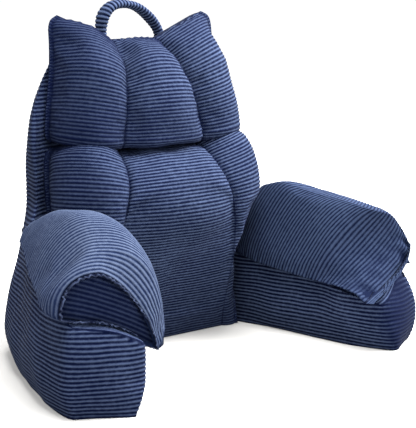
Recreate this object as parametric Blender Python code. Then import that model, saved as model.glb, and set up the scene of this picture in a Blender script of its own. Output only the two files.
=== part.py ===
"""Reading pillow with arms: a wide-wale corduroy backrest bag with two low arms, a three-channel
back cushion, a three-channel headrest with pointed corners, a thick half-roll pad over each arm
with a gathered front end, and a carry handle. Metres, +Z up, front towards -Y, origin on the
floor under the back."""

import math

import bmesh
import bpy
import numpy as np
from mathutils import Vector
from mathutils.bvhtree import BVHTree

for old in list(bpy.data.objects):
    bpy.data.objects.remove(old, do_unlink=True)

# ---------------------------------------------------------------- driving dimensions (metres)
WALE_PITCH = 0.0073          # one cord of the corduroy to the next
WALE_RISE = 0.0016           # how far a cord stands above the trough beside it
SEAT_GAP = 0.0005            # clearance between pieces that lie on each other

BASE_TUCK = 0.016            # how far the bag's wall turns in at the floor
BASE_BELLY_Z = 0.060         # height where the bag's wall stands out most

BACK_FRONT_Y = -0.002        # front wall of the back at the floor
BACK_LEAN_Z = 0.410          # height where the front wall changes its lean
BACK_LEAN_Y = 0.0135         # front wall there
BACK_TOP_Z = 0.566           # top of the bag behind the headrest
BACK_TOP_Y = 0.030           # front wall there

HANDLE_THICK = 0.014         # the flat tube of the handle, across its face
HANDLE_WIDE = 0.028          # and along it
HANDLE_FOOT_WIDE = 0.018     # where it is sewn into the bag's top
HANDLE_FOOT_Z = 0.592        # it widens above this height

NAVY = (0.050, 0.075, 0.190, 1.0)
NAVY_LIGHT = (0.085, 0.120, 0.270, 1.0)

# The bag's outline in plan at its fullest height, right half: inner side of the arm, then its
# front face, then the outer side back to the root of the arm.      x      y
ARM_INNER = [(0.226, 0.006), (0.229, -0.050), (0.237, -0.115), (0.243, -0.180),
             (0.249, -0.245), (0.256, -0.305), (0.275, -0.369)]
ARM_FRONT = [(0.275, -0.369), (0.287, -0.378), (0.335, -0.369), (0.380, -0.352), (0.401, -0.343)]
ARM_OUTER = [(0.401, -0.343), (0.409, -0.318), (0.399, -0.256), (0.374, -0.180),
             (0.345, -0.105), (0.316, -0.032)]
BACK_SIDE = [(0.316, -0.032), (0.276, 0.050), (0.220, 0.108), (0.120, 0.145), (0.0, 0.152)]

# Top edge of an arm under its pad.  along   outer    inner
ARM_TOP = [(0.00, 0.236, 0.148), (0.50, 0.206, 0.130), (0.88, 0.160, 0.108), (1.00, 0.145, 0.096)]
FRONT_TOP = [(0.00, 0.096), (0.45, 0.118), (1.00, 0.145)]      # along the front face, inner to outer
INNER_CROWN = 0.006          # how far the inner wall turns in at the arm's top
ROOT_CROWN = 0.034           # the outer wall there, at the arm's root and round the back
FRONT_CROWN = {"right": 0.042, "left": 0.018}     # the outer wall there, at the front corner

# Upper part of the bag.          z      seam_x  seam_y  side_x  side_y  rear_y
BACK_SECTIONS = [(0.300, 0.2345, 0.003, 0.205, 0.078, 0.127),
                 (0.345, 0.2350, 0.003, 0.204, 0.070, 0.114),
                 (0.410, 0.2375, 0.003, 0.203, 0.058, 0.096),
                 (0.460, 0.2230, 0.020, 0.196, 0.054, 0.086),
                 (0.505, 0.2030, 0.0245, 0.180, 0.052, 0.078),
                 (0.540, 0.1780, 0.028, 0.158, 0.051, 0.072),
                 (0.558, 0.1540, 0.031, 0.136, 0.050, 0.068),
                 (0.566, 0.1340, 0.034, 0.120, 0.050, 0.066)]

# Seams of the headrest, right half, bottom to top.   x      y       z
HEAD_SEAM = [(0.0900, 0.0080, 0.3830), (0.0910, -0.0350, 0.3805), (0.0915, -0.0600, 0.3820),
             (0.0912, -0.0710, 0.3920), (0.0902, -0.0720, 0.4065), (0.0841, -0.0704, 0.4357),
             (0.0785, -0.0660, 0.4651), (0.0726, -0.0571, 0.4943), (0.0637, -0.0407, 0.5230),
             (0.0563, -0.0135, 0.5495), (0.0500, 0.0185, 0.5745)]
HEAD_EDGE = [(0.190, 0.0080, 0.3950), (0.204, 0.0085, 0.4000), (0.2095, 0.0090, 0.4140),
             (0.2085, 0.0100, 0.4520), (0.204, 0.0120, 0.4900), (0.198, 0.0150, 0.5300),
             (0.195, 0.0180, 0.5700), (0.193, 0.0205, 0.5980), (0.186, 0.0225, 0.6140),
             (0.168, 0.0250, 0.6225)]
HEAD_BULGE_SIDE = 0.052
HEAD_BULGE_MID = 0.036

# Seams of the back cushion, right half, floor to top.   x      y       z
BACK_SEAM = [(0.1810, -0.0250, 0.0015), (0.1730, -0.0390, 0.0350), (0.1655, -0.0620, 0.0900),
             (0.1580, -0.0840, 0.1470), (0.1460, -0.1050, 0.2050), (0.1310, -0.1190, 0.2500),
             (0.1200, -0.1210, 0.2900), (0.1100, -0.1122, 0.3233), (0.1013, -0.0890, 0.3540),
             (0.0940, -0.0560, 0.3720), (0.0900, 0.0080, 0.3760)]
BACK_EDGE = [(0.2190, -0.0300, 0.0015), (0.2160, -0.0250, 0.0500), (0.2100, -0.0150, 0.1100),
             (0.2060, -0.0020, 0.1700), (0.2080, 0.0030, 0.2300), (0.2120, 0.0060, 0.2900),
             (0.2130, 0.0075, 0.3430), (0.2090, 0.0080, 0.3740), (0.1950, 0.0080, 0.3870)]
# Bulge of the channels at heights.      z     side    middle
BACK_BULGE = [(0.000, 0.004, 0.000), (0.060, 0.006, 0.004), (0.150, 0.012, 0.012),
              (0.200, 0.030, 0.018), (0.244, 0.045, 0.022), (0.283, 0.064, 0.026),
              (0.340, 0.064, 0.026), (0.385, 0.056, 0.024)]

# The side seam's cords run down to the edge: share of the seam's length, share of the edge's.
HEAD_SHARE = ((0, 0.26, 1), (0, 0.07, 1))
BACK_SHARE = ((0, 0.80, 1), (0, 0.93, 1))

# Arm pads, from the back cushion to the front end; the last one is the end's own arch.
#             inner hem  x        y       z  ridge    x        y       z  outer hem x       y       z
PAD_RIGHT = [(0.2230, -0.0240, 0.1450, 0.2700, -0.0441, 0.2770, 0.3120, -0.0620, 0.2420),
             (0.2240, -0.0720, 0.1330, 0.2740, -0.1020, 0.2880, 0.3380, -0.1120, 0.2300),
             (0.2290, -0.1500, 0.1260, 0.2850, -0.1700, 0.2860, 0.3720, -0.1840, 0.2040),
             (0.2380, -0.2300, 0.1180, 0.3000, -0.2400, 0.2730, 0.3960, -0.2450, 0.1830),
             (0.2410, -0.3050, 0.1100, 0.3130, -0.2950, 0.2590, 0.4080, -0.2800, 0.1710),
             (0.2425, -0.3350, 0.1040, 0.3390, -0.3080, 0.2530, 0.4070, -0.2960, 0.1670),
             (0.2442, -0.3544, 0.0975, 0.3650, -0.3197, 0.2190, 0.4042, -0.3084, 0.1640)]
PAD_LEFT = [(0.2230, -0.0240, 0.1450, 0.2700, -0.0441, 0.2660, 0.3120, -0.0620, 0.2380),
            (0.2240, -0.0720, 0.1330, 0.2720, -0.1020, 0.2900, 0.3370, -0.1120, 0.2300),
            (0.2270, -0.1600, 0.1260, 0.2830, -0.1700, 0.3040, 0.3720, -0.1840, 0.2040),
            (0.2290, -0.2500, 0.1180, 0.2930, -0.2250, 0.3070, 0.3960, -0.2450, 0.1830),
            (0.2270, -0.3250, 0.1120, 0.3040, -0.2700, 0.2940, 0.4100, -0.2800, 0.1720),
            (0.2320, -0.3560, 0.1040, 0.3230, -0.3100, 0.2660, 0.4130, -0.3050, 0.1670),
            (0.2470, -0.3640, 0.0975, 0.3421, -0.3366, 0.2330, 0.4070, -0.3180, 0.1640)]
# How early the hems run forward, against the ridge: the left pad's cords are turned to the front.
#                     inner  outer
PAD_TURN = {"right": (1.15, 1.00), "left": (0.40, 1.45)}
# Powers of an arch's width and height, inner side and outer side: below 1 full, above 1 sloping.
PAD_BODY = {"right": ((1.10, 1.80), (0.85, 0.85)), "left": ((0.74, 0.74), (1.00, 1.50))}
PAD_NOSE = {"right": ((1.10, 1.40), (0.70, 0.70)), "left": ((1.35, 1.35), (0.80, 0.80))}
END_CROWN = {"right": 0.016, "left": 0.004}      # swell of the front ends
RIM_THICK = 0.011
RIM_FRILLS = 26                      # gathers around the rim

# Middle line of the carry handle, foot to foot.
HANDLE_PATH = [(-0.054, 0.0460, 0.5665), (-0.056, 0.0460, 0.590), (-0.051, 0.0440, 0.618),
               (-0.034, 0.0430, 0.6350), (-0.008, 0.0425, 0.6390), (0.024, 0.0430, 0.6330),
               (0.054, 0.0440, 0.6140), (0.077, 0.0460, 0.590), (0.084, 0.0460, 0.5665)]


# ---------------------------------------------------------------- curves
def smooth_curve(points):
    """Function of 0..1 through the points, by arc length (Catmull-Rom)."""
    pts = np.array(points, float)
    steps = 16
    dense = []
    for i in range(len(pts) - 1):
        p0, p1, p2, p3 = pts[max(i - 1, 0)], pts[i], pts[i + 1], pts[min(i + 2, len(pts) - 1)]
        for k in range(steps):
            t = k / steps
            dense.append(0.5 * (2 * p1 + (p2 - p0) * t + (2 * p0 - 5 * p1 + 4 * p2 - p3) * t**2
                                + (3 * p1 - p0 - 3 * p2 + p3) * t**3))
    dense.append(pts[-1])
    dense = np.array(dense)
    run = np.r_[0, np.cumsum(np.linalg.norm(np.diff(dense, axis=0), axis=1))]

    def at(t):
        return np.array([np.interp(t * run[-1], run, dense[:, c]) for c in range(dense.shape[1])])

    at.length = run[-1]
    return at


def table_at(table, x):
    """Row of a table at x, read by its first column."""
    rows = np.array(table, float)
    return np.array([np.interp(x, rows[:, 0], rows[:, c]) for c in range(1, rows.shape[1])])


def back_wall_y(z):
    """Front wall of the back bag."""
    if z <= BACK_LEAN_Z:
        return BACK_FRONT_Y + (BACK_LEAN_Y - BACK_FRONT_Y) * z / BACK_LEAN_Z
    return BACK_LEAN_Y + (BACK_TOP_Y - BACK_LEAN_Y) * (z - BACK_LEAN_Z) / (BACK_TOP_Z - BACK_LEAN_Z)


# ---------------------------------------------------------------- meshes
def cloth_material(name, colour):
    mat = bpy.data.materials.new(name)
    mat.use_nodes = True
    shader = mat.node_tree.nodes["Principled BSDF"]
    shader.inputs["Base Color"].default_value = colour
    shader.inputs["Roughness"].default_value = 0.9
    shader.inputs["Metallic"].default_value = 0.0
    return mat


def solid(name, patches, caps, colour=NAVY):
    """One closed solid from grids of points that share their edges, and flat end loops."""
    bm = bmesh.new()
    for grid in patches:
        rows = [[bm.verts.new(p) for p in row] for row in grid]
        for a, b in zip(rows, rows[1:]):
            for i in range(len(a) - 1):
                bm.faces.new((a[i], a[i + 1], b[i + 1], b[i]))
    for loop in caps:
        bm.faces.new([bm.verts.new(p) for p in loop])
    bmesh.ops.remove_doubles(bm, verts=bm.verts, dist=1e-5)
    bmesh.ops.triangulate(bm, faces=bm.faces)
    bmesh.ops.recalc_face_normals(bm, faces=bm.faces)
    mesh = bpy.data.meshes.new(name)
    bm.to_mesh(mesh)
    bm.free()
    mesh.shade_smooth()
    mesh.materials.append(cloth_material(name + "_cloth", colour))
    obj = bpy.data.objects.new(name, mesh)
    bpy.context.scene.collection.objects.link(obj)
    return obj


def mirror(points):
    return [tuple(np.array(p) * (-1, 1, 1)) for p in points]


# ---------------------------------------------------------------- the bag: back and arms
ARM_STEPS, FRONT_STEPS, SIDE_STEPS, MID_STEPS = 9, 5, 9, 4
WALL_ROWS = 7


def coons(near, far, left, right):
    """Grid of points between four border curves; near and far run from left to right."""
    rows = []
    n, m = len(left) - 1, len(near) - 1
    near, far, left, right = (np.array(c, float) for c in (near, far, left, right))
    for i in range(n + 1):
        v = i / n
        row = []
        for j in range(m + 1):
            u = j / m
            corner = ((1 - u) * (1 - v) * near[0] + u * (1 - v) * near[-1]
                      + (1 - u) * v * far[0] + u * v * far[-1])
            row.append((1 - v) * near[j] + v * far[j] + (1 - u) * left[i] + u * right[i] - corner)
        rows.append(row)
    return rows


def plan_columns():
    """Right half of the bag's plan from front centre round the arm to rear centre: a point,
    which wall it belongs to, and how far along it lies (from the root, or from inner to outer)."""
    inner, front = smooth_curve(ARM_INNER), smooth_curve(ARM_FRONT)
    outer, side = smooth_curve(ARM_OUTER), smooth_curve(BACK_SIDE)
    corner = ARM_INNER[0]
    columns = [((corner[0] * i / MID_STEPS, corner[1]), "middle", 0) for i in range(MID_STEPS)]
    columns += [(inner(i / ARM_STEPS), "inner", i / ARM_STEPS) for i in range(ARM_STEPS)]
    columns += [(front(i / FRONT_STEPS), "front", i / FRONT_STEPS) for i in range(FRONT_STEPS)]
    columns += [(outer(i / ARM_STEPS), "outer", 1 - i / ARM_STEPS) for i in range(ARM_STEPS)]
    columns += [(side(i / SIDE_STEPS), "back", i / SIDE_STEPS) for i in range(SIDE_STEPS + 1)]
    return columns


def wall_shape(kind, t, hand):
    """Top of the wall, how far it turns in up there, and how late it does so."""
    outer_top, inner_top = table_at(ARM_TOP, t)
    corner_crown = FRONT_CROWN[hand]
    if kind == "outer":
        share = min(1.0, t / 0.6)
        crown = ROOT_CROWN + (corner_crown - ROOT_CROWN) * share
        return outer_top, crown, 1.2 + 0.8 * share
    if kind == "front":
        return table_at(FRONT_TOP, t)[0], INNER_CROWN + (corner_crown - INNER_CROWN) * t, 2.0
    if kind == "back":
        return ARM_TOP[0][1], ROOT_CROWN, 1.2
    return inner_top, INNER_CROWN, 2.0


def wall_inset(z, top, crown, late):
    """How far the wall stands inside its fullest line at height z."""
    if z < BASE_BELLY_Z:
        return BASE_TUCK * (1 - z / BASE_BELLY_Z) ** 2
    return crown * ((z - BASE_BELLY_Z) / (top - BASE_BELLY_Z)) ** late


def lower_walls(hand):
    """Columns of points, floor to top, round one half of the lower bag (built for x > 0)."""
    plan = plan_columns()
    places = np.array([p for p, _, _ in plan])
    columns = []
    for i, (place, kind, t) in enumerate(plan):
        top, crown, late = wall_shape(kind, t, hand)
        heights = [top * k / WALL_ROWS for k in range(WALL_ROWS + 1)]
        if kind == "middle" or (kind == "inner" and t == 0):
            columns.append([(place[0], back_wall_y(z), z) for z in heights])
            continue
        ahead = places[min(i + 1, len(places) - 1)] - places[i - 1]
        inward = np.array([-ahead[1], ahead[0]]) / np.linalg.norm(ahead)
        share = min(1.0, t * 4) if kind == "inner" else 1.0
        column = []
        for z in heights:
            x, y = np.array(place) + inward * wall_inset(z, top, crown, late) * share
            column.append((0.0 if i == len(plan) - 1 else x, y, z))
        columns.append(column)
    return columns


def lid_edges(lower):
    """Top edges of one arm: root, front face, inner wall and outer wall."""
    root_column = MID_STEPS + ARM_STEPS + FRONT_STEPS + ARM_STEPS
    inner = [lower[MID_STEPS + i][-1] for i in range(ARM_STEPS + 1)]
    front = [lower[MID_STEPS + ARM_STEPS + i][-1] for i in range(FRONT_STEPS + 1)]
    outer = [lower[root_column - i][-1] for i in range(ARM_STEPS + 1)]
    root = [np.array(inner[0]) + (np.array(outer[0]) - inner[0]) * i / FRONT_STEPS
            for i in range(FRONT_STEPS + 1)]
    return root, front, inner, outer


def upper_rows(first_row):
    """Rows of points round one half of the upper back, from front centre to rear centre."""
    rows = [first_row]
    for z, seam_x, seam_y, side_x, side_y, rear_y in BACK_SECTIONS:
        strip_x = min(ARM_INNER[0][0], seam_x - 0.022)
        wall_y = back_wall_y(z)
        front = [(strip_x * i / MID_STEPS, wall_y, z) for i in range(MID_STEPS)]
        strip = [(strip_x + (seam_x - strip_x) * i / FRONT_STEPS,
                  wall_y + (seam_y - wall_y) * i / FRONT_STEPS, z) for i in range(FRONT_STEPS)]
        side = smooth_curve([(seam_x, seam_y), (seam_x * 0.955, (seam_y + side_y) / 2),
                             (side_x, side_y), (side_x * 0.55, rear_y - 0.006), (0.0, rear_y)])
        rows.append(front + strip + [(*side(i / SIDE_STEPS), z) for i in range(SIDE_STEPS + 1)])
    return rows


def build_body():
    patches, floor_loop, top_loop = [], [], []
    for hand in ("right", "left"):
        lower = lower_walls(hand)
        root, front, inner, outer = lid_edges(lower)
        lid = coons(root, front, inner, outer)
        back_columns = lower[MID_STEPS + ARM_STEPS + FRONT_STEPS + ARM_STEPS:]
        first_row = [c[-1] for c in lower[:MID_STEPS]] + root[:-1] + [c[-1] for c in back_columns]
        upper = upper_rows(first_row)
        half_floor, half_top = [c[0] for c in lower], upper[-1]
        grids = [lower, lid, upper]
        if hand == "left":
            grids = [[mirror(row) for row in grid] for grid in grids]
            half_floor, half_top = mirror(half_floor)[::-1][1:-1], mirror(half_top)[::-1][1:-1]
        patches += grids
        floor_loop += half_floor
        top_loop += half_top
    return solid("body", patches, [floor_loop, top_loop])


# ---------------------------------------------------------------- filled cushions
MID_COLUMNS, SIDE_COLUMNS = 2, 4


def facing(out, tilt):
    """Unit direction of a channel's swell, its upward part kept between two limits."""
    out = out / np.linalg.norm(out)
    out[1] = min(out[1], -0.6)
    out[2] = min(max(out[2], tilt[0]), tilt[1])
    return out / np.linalg.norm(out)


def channelled_front(seam, edge, share, bulge, rows, tilt):
    """Front face of a cushion: side channel, middle channel, side channel, with its cords.
    Returns rows of points from left to right, bottom to top."""
    grid = []
    for r in range(rows + 1):
        v = r / rows
        below, here, above = (np.interp(t, *share) for t in (max(v - 0.01, 0), v, min(v + 0.01, 1)))
        s, e = seam(v), edge(here)
        side_h, mid_h = bulge(v)
        raised = WALE_RISE if r % 2 else 0.0
        up_seam = seam(min(v + 0.01, 1)) - seam(max(v - 0.01, 0))
        out = facing(np.cross(e - s, up_seam + edge(above) - edge(below)), tilt)
        ahead = facing(np.array([0.0, -up_seam[2], up_seam[1]]), tilt)
        half = []
        for i in range(MID_COLUMNS):
            t = i / MID_COLUMNS
            lift = mid_h * max(1 - t**2, 0.0) ** 0.6 + raised
            half.append(np.array([s[0] * t, s[1], s[2]]) + ahead * lift)
        for i in range(SIDE_COLUMNS + 1):
            t = i / SIDE_COLUMNS
            lift = side_h * (4 * t * (1 - t)) ** 0.62 + (raised if 0 < t < 1 else 0.0)
            half.append(s + (e - s) * t + out * lift)
        left = [p * (-1, 1, 1) for p in half[::-1]]
        grid.append(left[:-1] + half)
    return grid


def cushion(name, grid, back_plane):
    """Close a front face with a flat back and a border strip between the two."""
    grid = np.array(grid)
    loop = list(grid[0]) + list(grid[1:, -1]) + list(grid[-1][::-1][1:]) + list(grid[1:-1, 0][::-1])
    back = [np.array([p[0], back_plane(p[2]), p[2]]) for p in loop]
    strip = [loop + [loop[0]], back + [back[0]]]
    return solid(name, [grid, strip], [back])


def build_headrest():
    seam, edge = smooth_curve(HEAD_SEAM), smooth_curve(HEAD_EDGE)
    rows = 2 * round(seam.length / WALE_PITCH)

    def bulge(v):
        full = min(1.0, v / 0.10) ** 0.5 * min(1.0, max(1 - v, 0.0) / 0.34) ** 0.5
        return HEAD_BULGE_SIDE * full, HEAD_BULGE_MID * full

    grid = channelled_front(seam, edge, HEAD_SHARE, bulge, rows, (0.0, 0.9))
    slope = (BACK_TOP_Y - BACK_LEAN_Y) / (BACK_TOP_Z - BACK_LEAN_Z)

    def plane(z):
        return BACK_LEAN_Y + slope * (z - BACK_LEAN_Z) - SEAT_GAP

    return cushion("headrest_cushion", grid, plane)


def build_back_cushion():
    seam, edge = smooth_curve(BACK_SEAM), smooth_curve(BACK_EDGE)
    rows = 2 * round(seam.length / WALE_PITCH)

    def bulge(v):
        side_h, mid_h = table_at(BACK_BULGE, edge(np.interp(v, *BACK_SHARE))[2])
        close = min(1.0, max(1 - v, 0.0) / 0.12) ** 0.5
        return side_h * close, mid_h * close

    grid = channelled_front(seam, edge, BACK_SHARE, bulge, rows, (-0.5, 0.02))

    def plane(z):
        return BACK_FRONT_Y + (BACK_LEAN_Y - BACK_FRONT_Y) * z / BACK_LEAN_Z - SEAT_GAP

    return cushion("back_cushion", grid, plane)


# ---------------------------------------------------------------- pads over the arms
PAD_ACROSS = 10
END_AXIS = np.array(PAD_LEFT[-1][6:8]) - np.array(PAD_LEFT[-1][0:2])
END_AXIS = END_AXIS / np.linalg.norm(END_AXIS)
END_NORMAL = np.array([END_AXIS[1], -END_AXIS[0], 0.0])


def arch(inner, ridge, outer, count, powers):
    """Arch from the inner hem over the ridge to the outer hem."""
    inner, ridge, outer = (np.array(p, float) for p in (inner, ridge, outer))
    points = []
    for j in range(count + 1):
        angle = math.pi * j / count
        near = angle <= math.pi / 2
        hem, (wide, high) = (inner, powers[0]) if near else (outer, powers[1])
        over = abs(math.cos(angle)) ** wide
        up = math.sin(angle) ** high if 0 < j < count else 0.0
        foot = np.array([ridge[0], ridge[1], hem[2]])
        point = foot + (hem - foot) * over
        point[2] = hem[2] + (ridge[2] - hem[2]) * up
        points.append(point)
    return points


def pad_table(hand):
    return np.array(PAD_RIGHT if hand == "right" else PAD_LEFT)


def rim_arch(hand, count):
    """The arch of the pad's front end, in the plane of the end."""
    last = pad_table(hand)[-1]
    return arch(last[0:3], last[3:6], last[6:9], count, PAD_NOSE[hand])


def build_pad(hand, body):
    inner, ridge, outer = (smooth_curve(pad_table(hand)[:, k:k + 3]) for k in (0, 3, 6))
    inner_turn, outer_turn = PAD_TURN[hand]
    rows = 2 * round(ridge.length / WALE_PITCH)
    arches = []
    for r in range(rows + 1):
        v = r / rows
        nose = max((v - 0.75) / 0.25, 0.0)
        powers = np.array(PAD_BODY[hand]) * (1 - nose) + np.array(PAD_NOSE[hand]) * nose
        arches.append(arch(inner(v ** inner_turn), ridge(v), outer(v ** outer_turn), PAD_ACROSS, powers))
    grid = np.array(arches)
    raised = np.array(grid)
    for r in range(1, len(grid) - 1, 2):
        run = grid[r + 1] - grid[r - 1]
        across = np.gradient(grid[r], axis=0)
        out = np.cross(run, across)
        out = out / np.linalg.norm(out, axis=1)[:, None]
        out = out * np.sign(np.sum(out * (grid[r] - grid[r].mean(axis=0)), axis=1).mean())
        raised[r, 1:-1] += out[1:-1] * WALE_RISE
    flip = np.array([-1, 1, 1]) if hand == "left" else np.array([1, 1, 1])
    under = pad_underside(grid, flip, body)
    kept = sorted(set(range(0, len(grid), UNDER_EVERY)) | {len(grid) - 1})
    hems = []
    for a, b in zip(kept, kept[1:]):
        for side, edge in ((0, 0), (-1, -1)):
            run = [raised[r][side] for r in range(a, b + 1)]
            hems.append(run + [under[b][edge], under[a][edge]])
    faces = [raised[0].tolist() + under[0][::-1].tolist(), raised[-1].tolist() + under[-1][::-1].tolist()]
    loops = [[np.array(p) * flip for p in loop] for loop in hems + faces]
    return solid("arm_pad_" + hand, [raised * flip, under[kept] * flip], loops)


PAD_HEM = 0.010              # thickness of a hem
LID_GAP = 0.0018             # clearance of the pad over the arm's top
UNDER_ACROSS = 7             # places across the underside
UNDER_EVERY = 4              # rows of the pad for each row of its underside
LID_PROBES = 9               # places looked at between two neighbouring points of the underside


def pad_underside(grid, flip, body):
    """Rows of points from the inner to the outer hem that clear the arm below everywhere."""
    tree = BVHTree.FromObject(body, bpy.context.evaluated_depsgraph_get())
    count = UNDER_ACROSS * LID_PROBES
    probes, heights = [], []
    for points in grid:
        inner, outer = np.array(points[0]), np.array(points[-1])
        hem = PAD_HEM / np.linalg.norm((outer - inner)[:2])
        line = [inner + (outer - inner) * (hem + (1 - 2 * hem) * j / count) for j in range(count + 1)]
        probes.append(line)
        row = []
        for p in line:
            x, y, _ = p * flip
            hit = tree.ray_cast(Vector((x, y, 1.0)), Vector((0, 0, -1)))[0]
            row.append(hit.z if hit else 0.0)
        heights.append(row)
    heights = np.array(heights)
    under = []
    for r in range(len(grid)):
        near = heights[max(r - UNDER_EVERY, 0):r + UNDER_EVERY + 1].max(axis=0)
        row = []
        for j in range(0, count + 1, LID_PROBES):
            reach = near[max(j - LID_PROBES, 0):j + LID_PROBES + 1].max()
            p = np.array(probes[r][j])
            p[2] = max(p[2], reach + LID_GAP)
            row.append(p)
        under.append(row)
    return np.array(under)


def build_pad_end(hand):
    """D-shaped panel closing the pad's front, slightly crowned."""
    flip = np.array([-1, 1, 1]) if hand == "left" else np.array([1, 1, 1])
    outline = np.array(rim_arch(hand, 2 * PAD_ACROSS))
    hem = [outline[-1] + (outline[0] - outline[-1]) * i / 6 for i in range(1, 6)]
    loop = np.array(list(outline) + hem)
    middle = loop.mean(axis=0)
    back = [(middle + (p - middle) * 0.86 + END_NORMAL * SEAT_GAP) * flip for p in loop]
    rings = [back]
    for share, part in ((0.86, 0.3), (0.70, 0.7), (0.45, 0.9), (0.20, 1.0)):
        ahead = END_NORMAL * (SEAT_GAP + END_CROWN[hand] * part)
        rings.append([(middle + (p - middle) * share + ahead) * flip for p in loop])
    closed = [ring + [ring[0]] for ring in rings]
    return solid("pad_end_" + hand, [closed], [back, rings[-1]], NAVY)


def build_pad_rim(hand):
    """Gathered rim round the pad's front end: a frilled roll over the arch and along the hem."""
    flip = np.array([-1, 1, 1]) if hand == "left" else np.array([1, 1, 1])
    dense = np.array(rim_arch(hand, 60))
    hem = [dense[-1] + (dense[0] - dense[-1]) * i / 30 for i in range(1, 30)]
    loop = np.array(list(dense) + hem + [dense[0]])
    run = np.r_[0, np.cumsum(np.linalg.norm(np.diff(loop, axis=0), axis=1))]
    middle = loop[:-1].mean(axis=0)
    count = 2 * RIM_FRILLS
    sections = []
    for i in range(count):
        s = run[-1] * i / count
        p = np.array([np.interp(s, run, loop[:, c]) for c in range(3)])
        wave = (1.25 if i % 2 else 0.75) + 0.12 * math.sin(1.9 * i)
        depth = RIM_THICK * wave
        out, into = middle + (p - middle) * 1.0, middle + (p - middle) * 0.885
        section = [into + END_NORMAL * SEAT_GAP, into + END_NORMAL * depth * 0.7,
                   (out + into) / 2 + END_NORMAL * depth, out + END_NORMAL * depth * 0.5,
                   out + END_NORMAL * SEAT_GAP]
        sections.append([q * flip for q in section] + [section[0] * flip])
    sections.append(sections[0])
    return solid("pad_rim_" + hand, [sections], [], NAVY_LIGHT)


# ---------------------------------------------------------------- carry handle
def build_handle():
    """Flat ribbed tube, bent into a loop, standing on the top of the bag."""
    path = smooth_curve(HANDLE_PATH)
    rings = 2 * round(path.length / WALE_PITCH)
    sides = 8
    sections = []
    for r in range(rings + 1):
        t = r / rings
        ahead = path(min(t + 0.01, 1)) - path(max(t - 0.01, 0))
        if r in (0, rings):
            ahead = np.array([0.0, 0.0, 1.0 if r == 0 else -1.0])
        ahead = ahead / np.linalg.norm(ahead)
        wide = np.array([0.0, 1.0, 0.0])
        thick = np.cross(wide, ahead)
        grow = WALE_RISE if r % 2 else 0.0
        above_foot = min(max((path(t)[2] - HANDLE_FOOT_Z) / 0.02, 0.0), 1.0)
        half_wide = (HANDLE_FOOT_WIDE + (HANDLE_WIDE - HANDLE_FOOT_WIDE) * above_foot) / 2
        section = []
        for k in range(sides):
            angle = 2 * math.pi * k / sides
            section.append(path(t) + wide * math.cos(angle) * (half_wide + grow)
                           + thick * math.sin(angle) * (HANDLE_THICK / 2 + grow))
        sections.append(section + [section[0]])
    return solid("carry_handle", [sections], [sections[0][:-1], sections[-1][:-1]], NAVY_LIGHT)


# ---------------------------------------------------------------- build
bag = build_body()
build_headrest()
build_back_cushion()
build_handle()
for hand in ("right", "left"):
    build_pad(hand, bag)
    build_pad_end(hand)
    build_pad_rim(hand)
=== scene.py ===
"""Looks of a reading pillow with arms: navy wide-wale corduroy over a stuffed bag, a channelled
back cushion and headrest, a thick pad over each arm, and a carry handle. Metres, +Z up, the
front towards -Y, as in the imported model."""

import math

import bmesh
import bpy
import numpy as np
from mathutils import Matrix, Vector, noise
from mathutils.bvhtree import BVHTree


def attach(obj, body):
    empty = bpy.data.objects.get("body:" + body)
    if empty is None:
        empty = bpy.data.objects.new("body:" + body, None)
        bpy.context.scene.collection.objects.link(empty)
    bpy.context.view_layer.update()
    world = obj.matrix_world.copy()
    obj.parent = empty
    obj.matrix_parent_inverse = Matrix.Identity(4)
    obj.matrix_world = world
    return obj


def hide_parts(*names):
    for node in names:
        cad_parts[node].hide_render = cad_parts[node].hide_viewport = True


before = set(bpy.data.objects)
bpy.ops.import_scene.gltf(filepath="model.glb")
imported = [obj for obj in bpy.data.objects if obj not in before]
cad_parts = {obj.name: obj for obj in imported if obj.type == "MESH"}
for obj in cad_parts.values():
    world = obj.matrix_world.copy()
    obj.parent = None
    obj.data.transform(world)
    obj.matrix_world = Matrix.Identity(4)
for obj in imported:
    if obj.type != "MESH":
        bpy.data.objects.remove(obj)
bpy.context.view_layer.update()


# ------------------------ camera
# The photograph is taken with a long lens from in front and from the left, a little above the
# pillow's top, so both arms point towards the lower corners of the picture.
CAMERA_PLACE = (-1.6466, -2.1600, 0.7200)
CAMERA_LOOKS = (0.6331, 0.7545, -0.1728)
CAMERA_LENS = 121.8          # millimetres, on a sensor 36 mm along the picture's long side


def aimed(name, data, place, direction):
    """A camera or lamp put in its place and turned in its direction."""
    thing = bpy.data.objects.new(name, data)
    thing.location = place
    thing.rotation_mode = "QUATERNION"
    thing.rotation_quaternion = Vector(direction).to_track_quat("-Z", "Y")
    bpy.context.scene.collection.objects.link(thing)
    return thing


lens = bpy.data.cameras.new("photo_camera")
lens.lens = CAMERA_LENS
bpy.context.scene.camera = aimed("photo_camera", lens, CAMERA_PLACE, CAMERA_LOOKS)


# ------------------------ bag
# The back and both arms are one big bag of corduroy, cut in panels, sewn along the corners and
# stuffed firm. Its cords lie level all the way round. It stands on its flat bottom.
WALE_PITCH = 0.0073          # one cord to the next
WALE_STEPS = 5               # mesh rows to a cord
WALE_RISE = 0.0012           # a cord's height over the trough beside it

BASE_TUCK = 0.016            # the wall turns in at the floor
BASE_BELLY_Z = 0.060         # height where it stands out most
BACK_FRONT_Y = -0.002        # front wall of the back at the floor
BACK_LEAN_Z = 0.410          # height where that wall changes its lean
BACK_LEAN_Y = 0.0135
BACK_TOP_Z = 0.566
BACK_TOP_Y = 0.030
TOP_CROWN = 0.008            # the bag's rounded top edge

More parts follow.
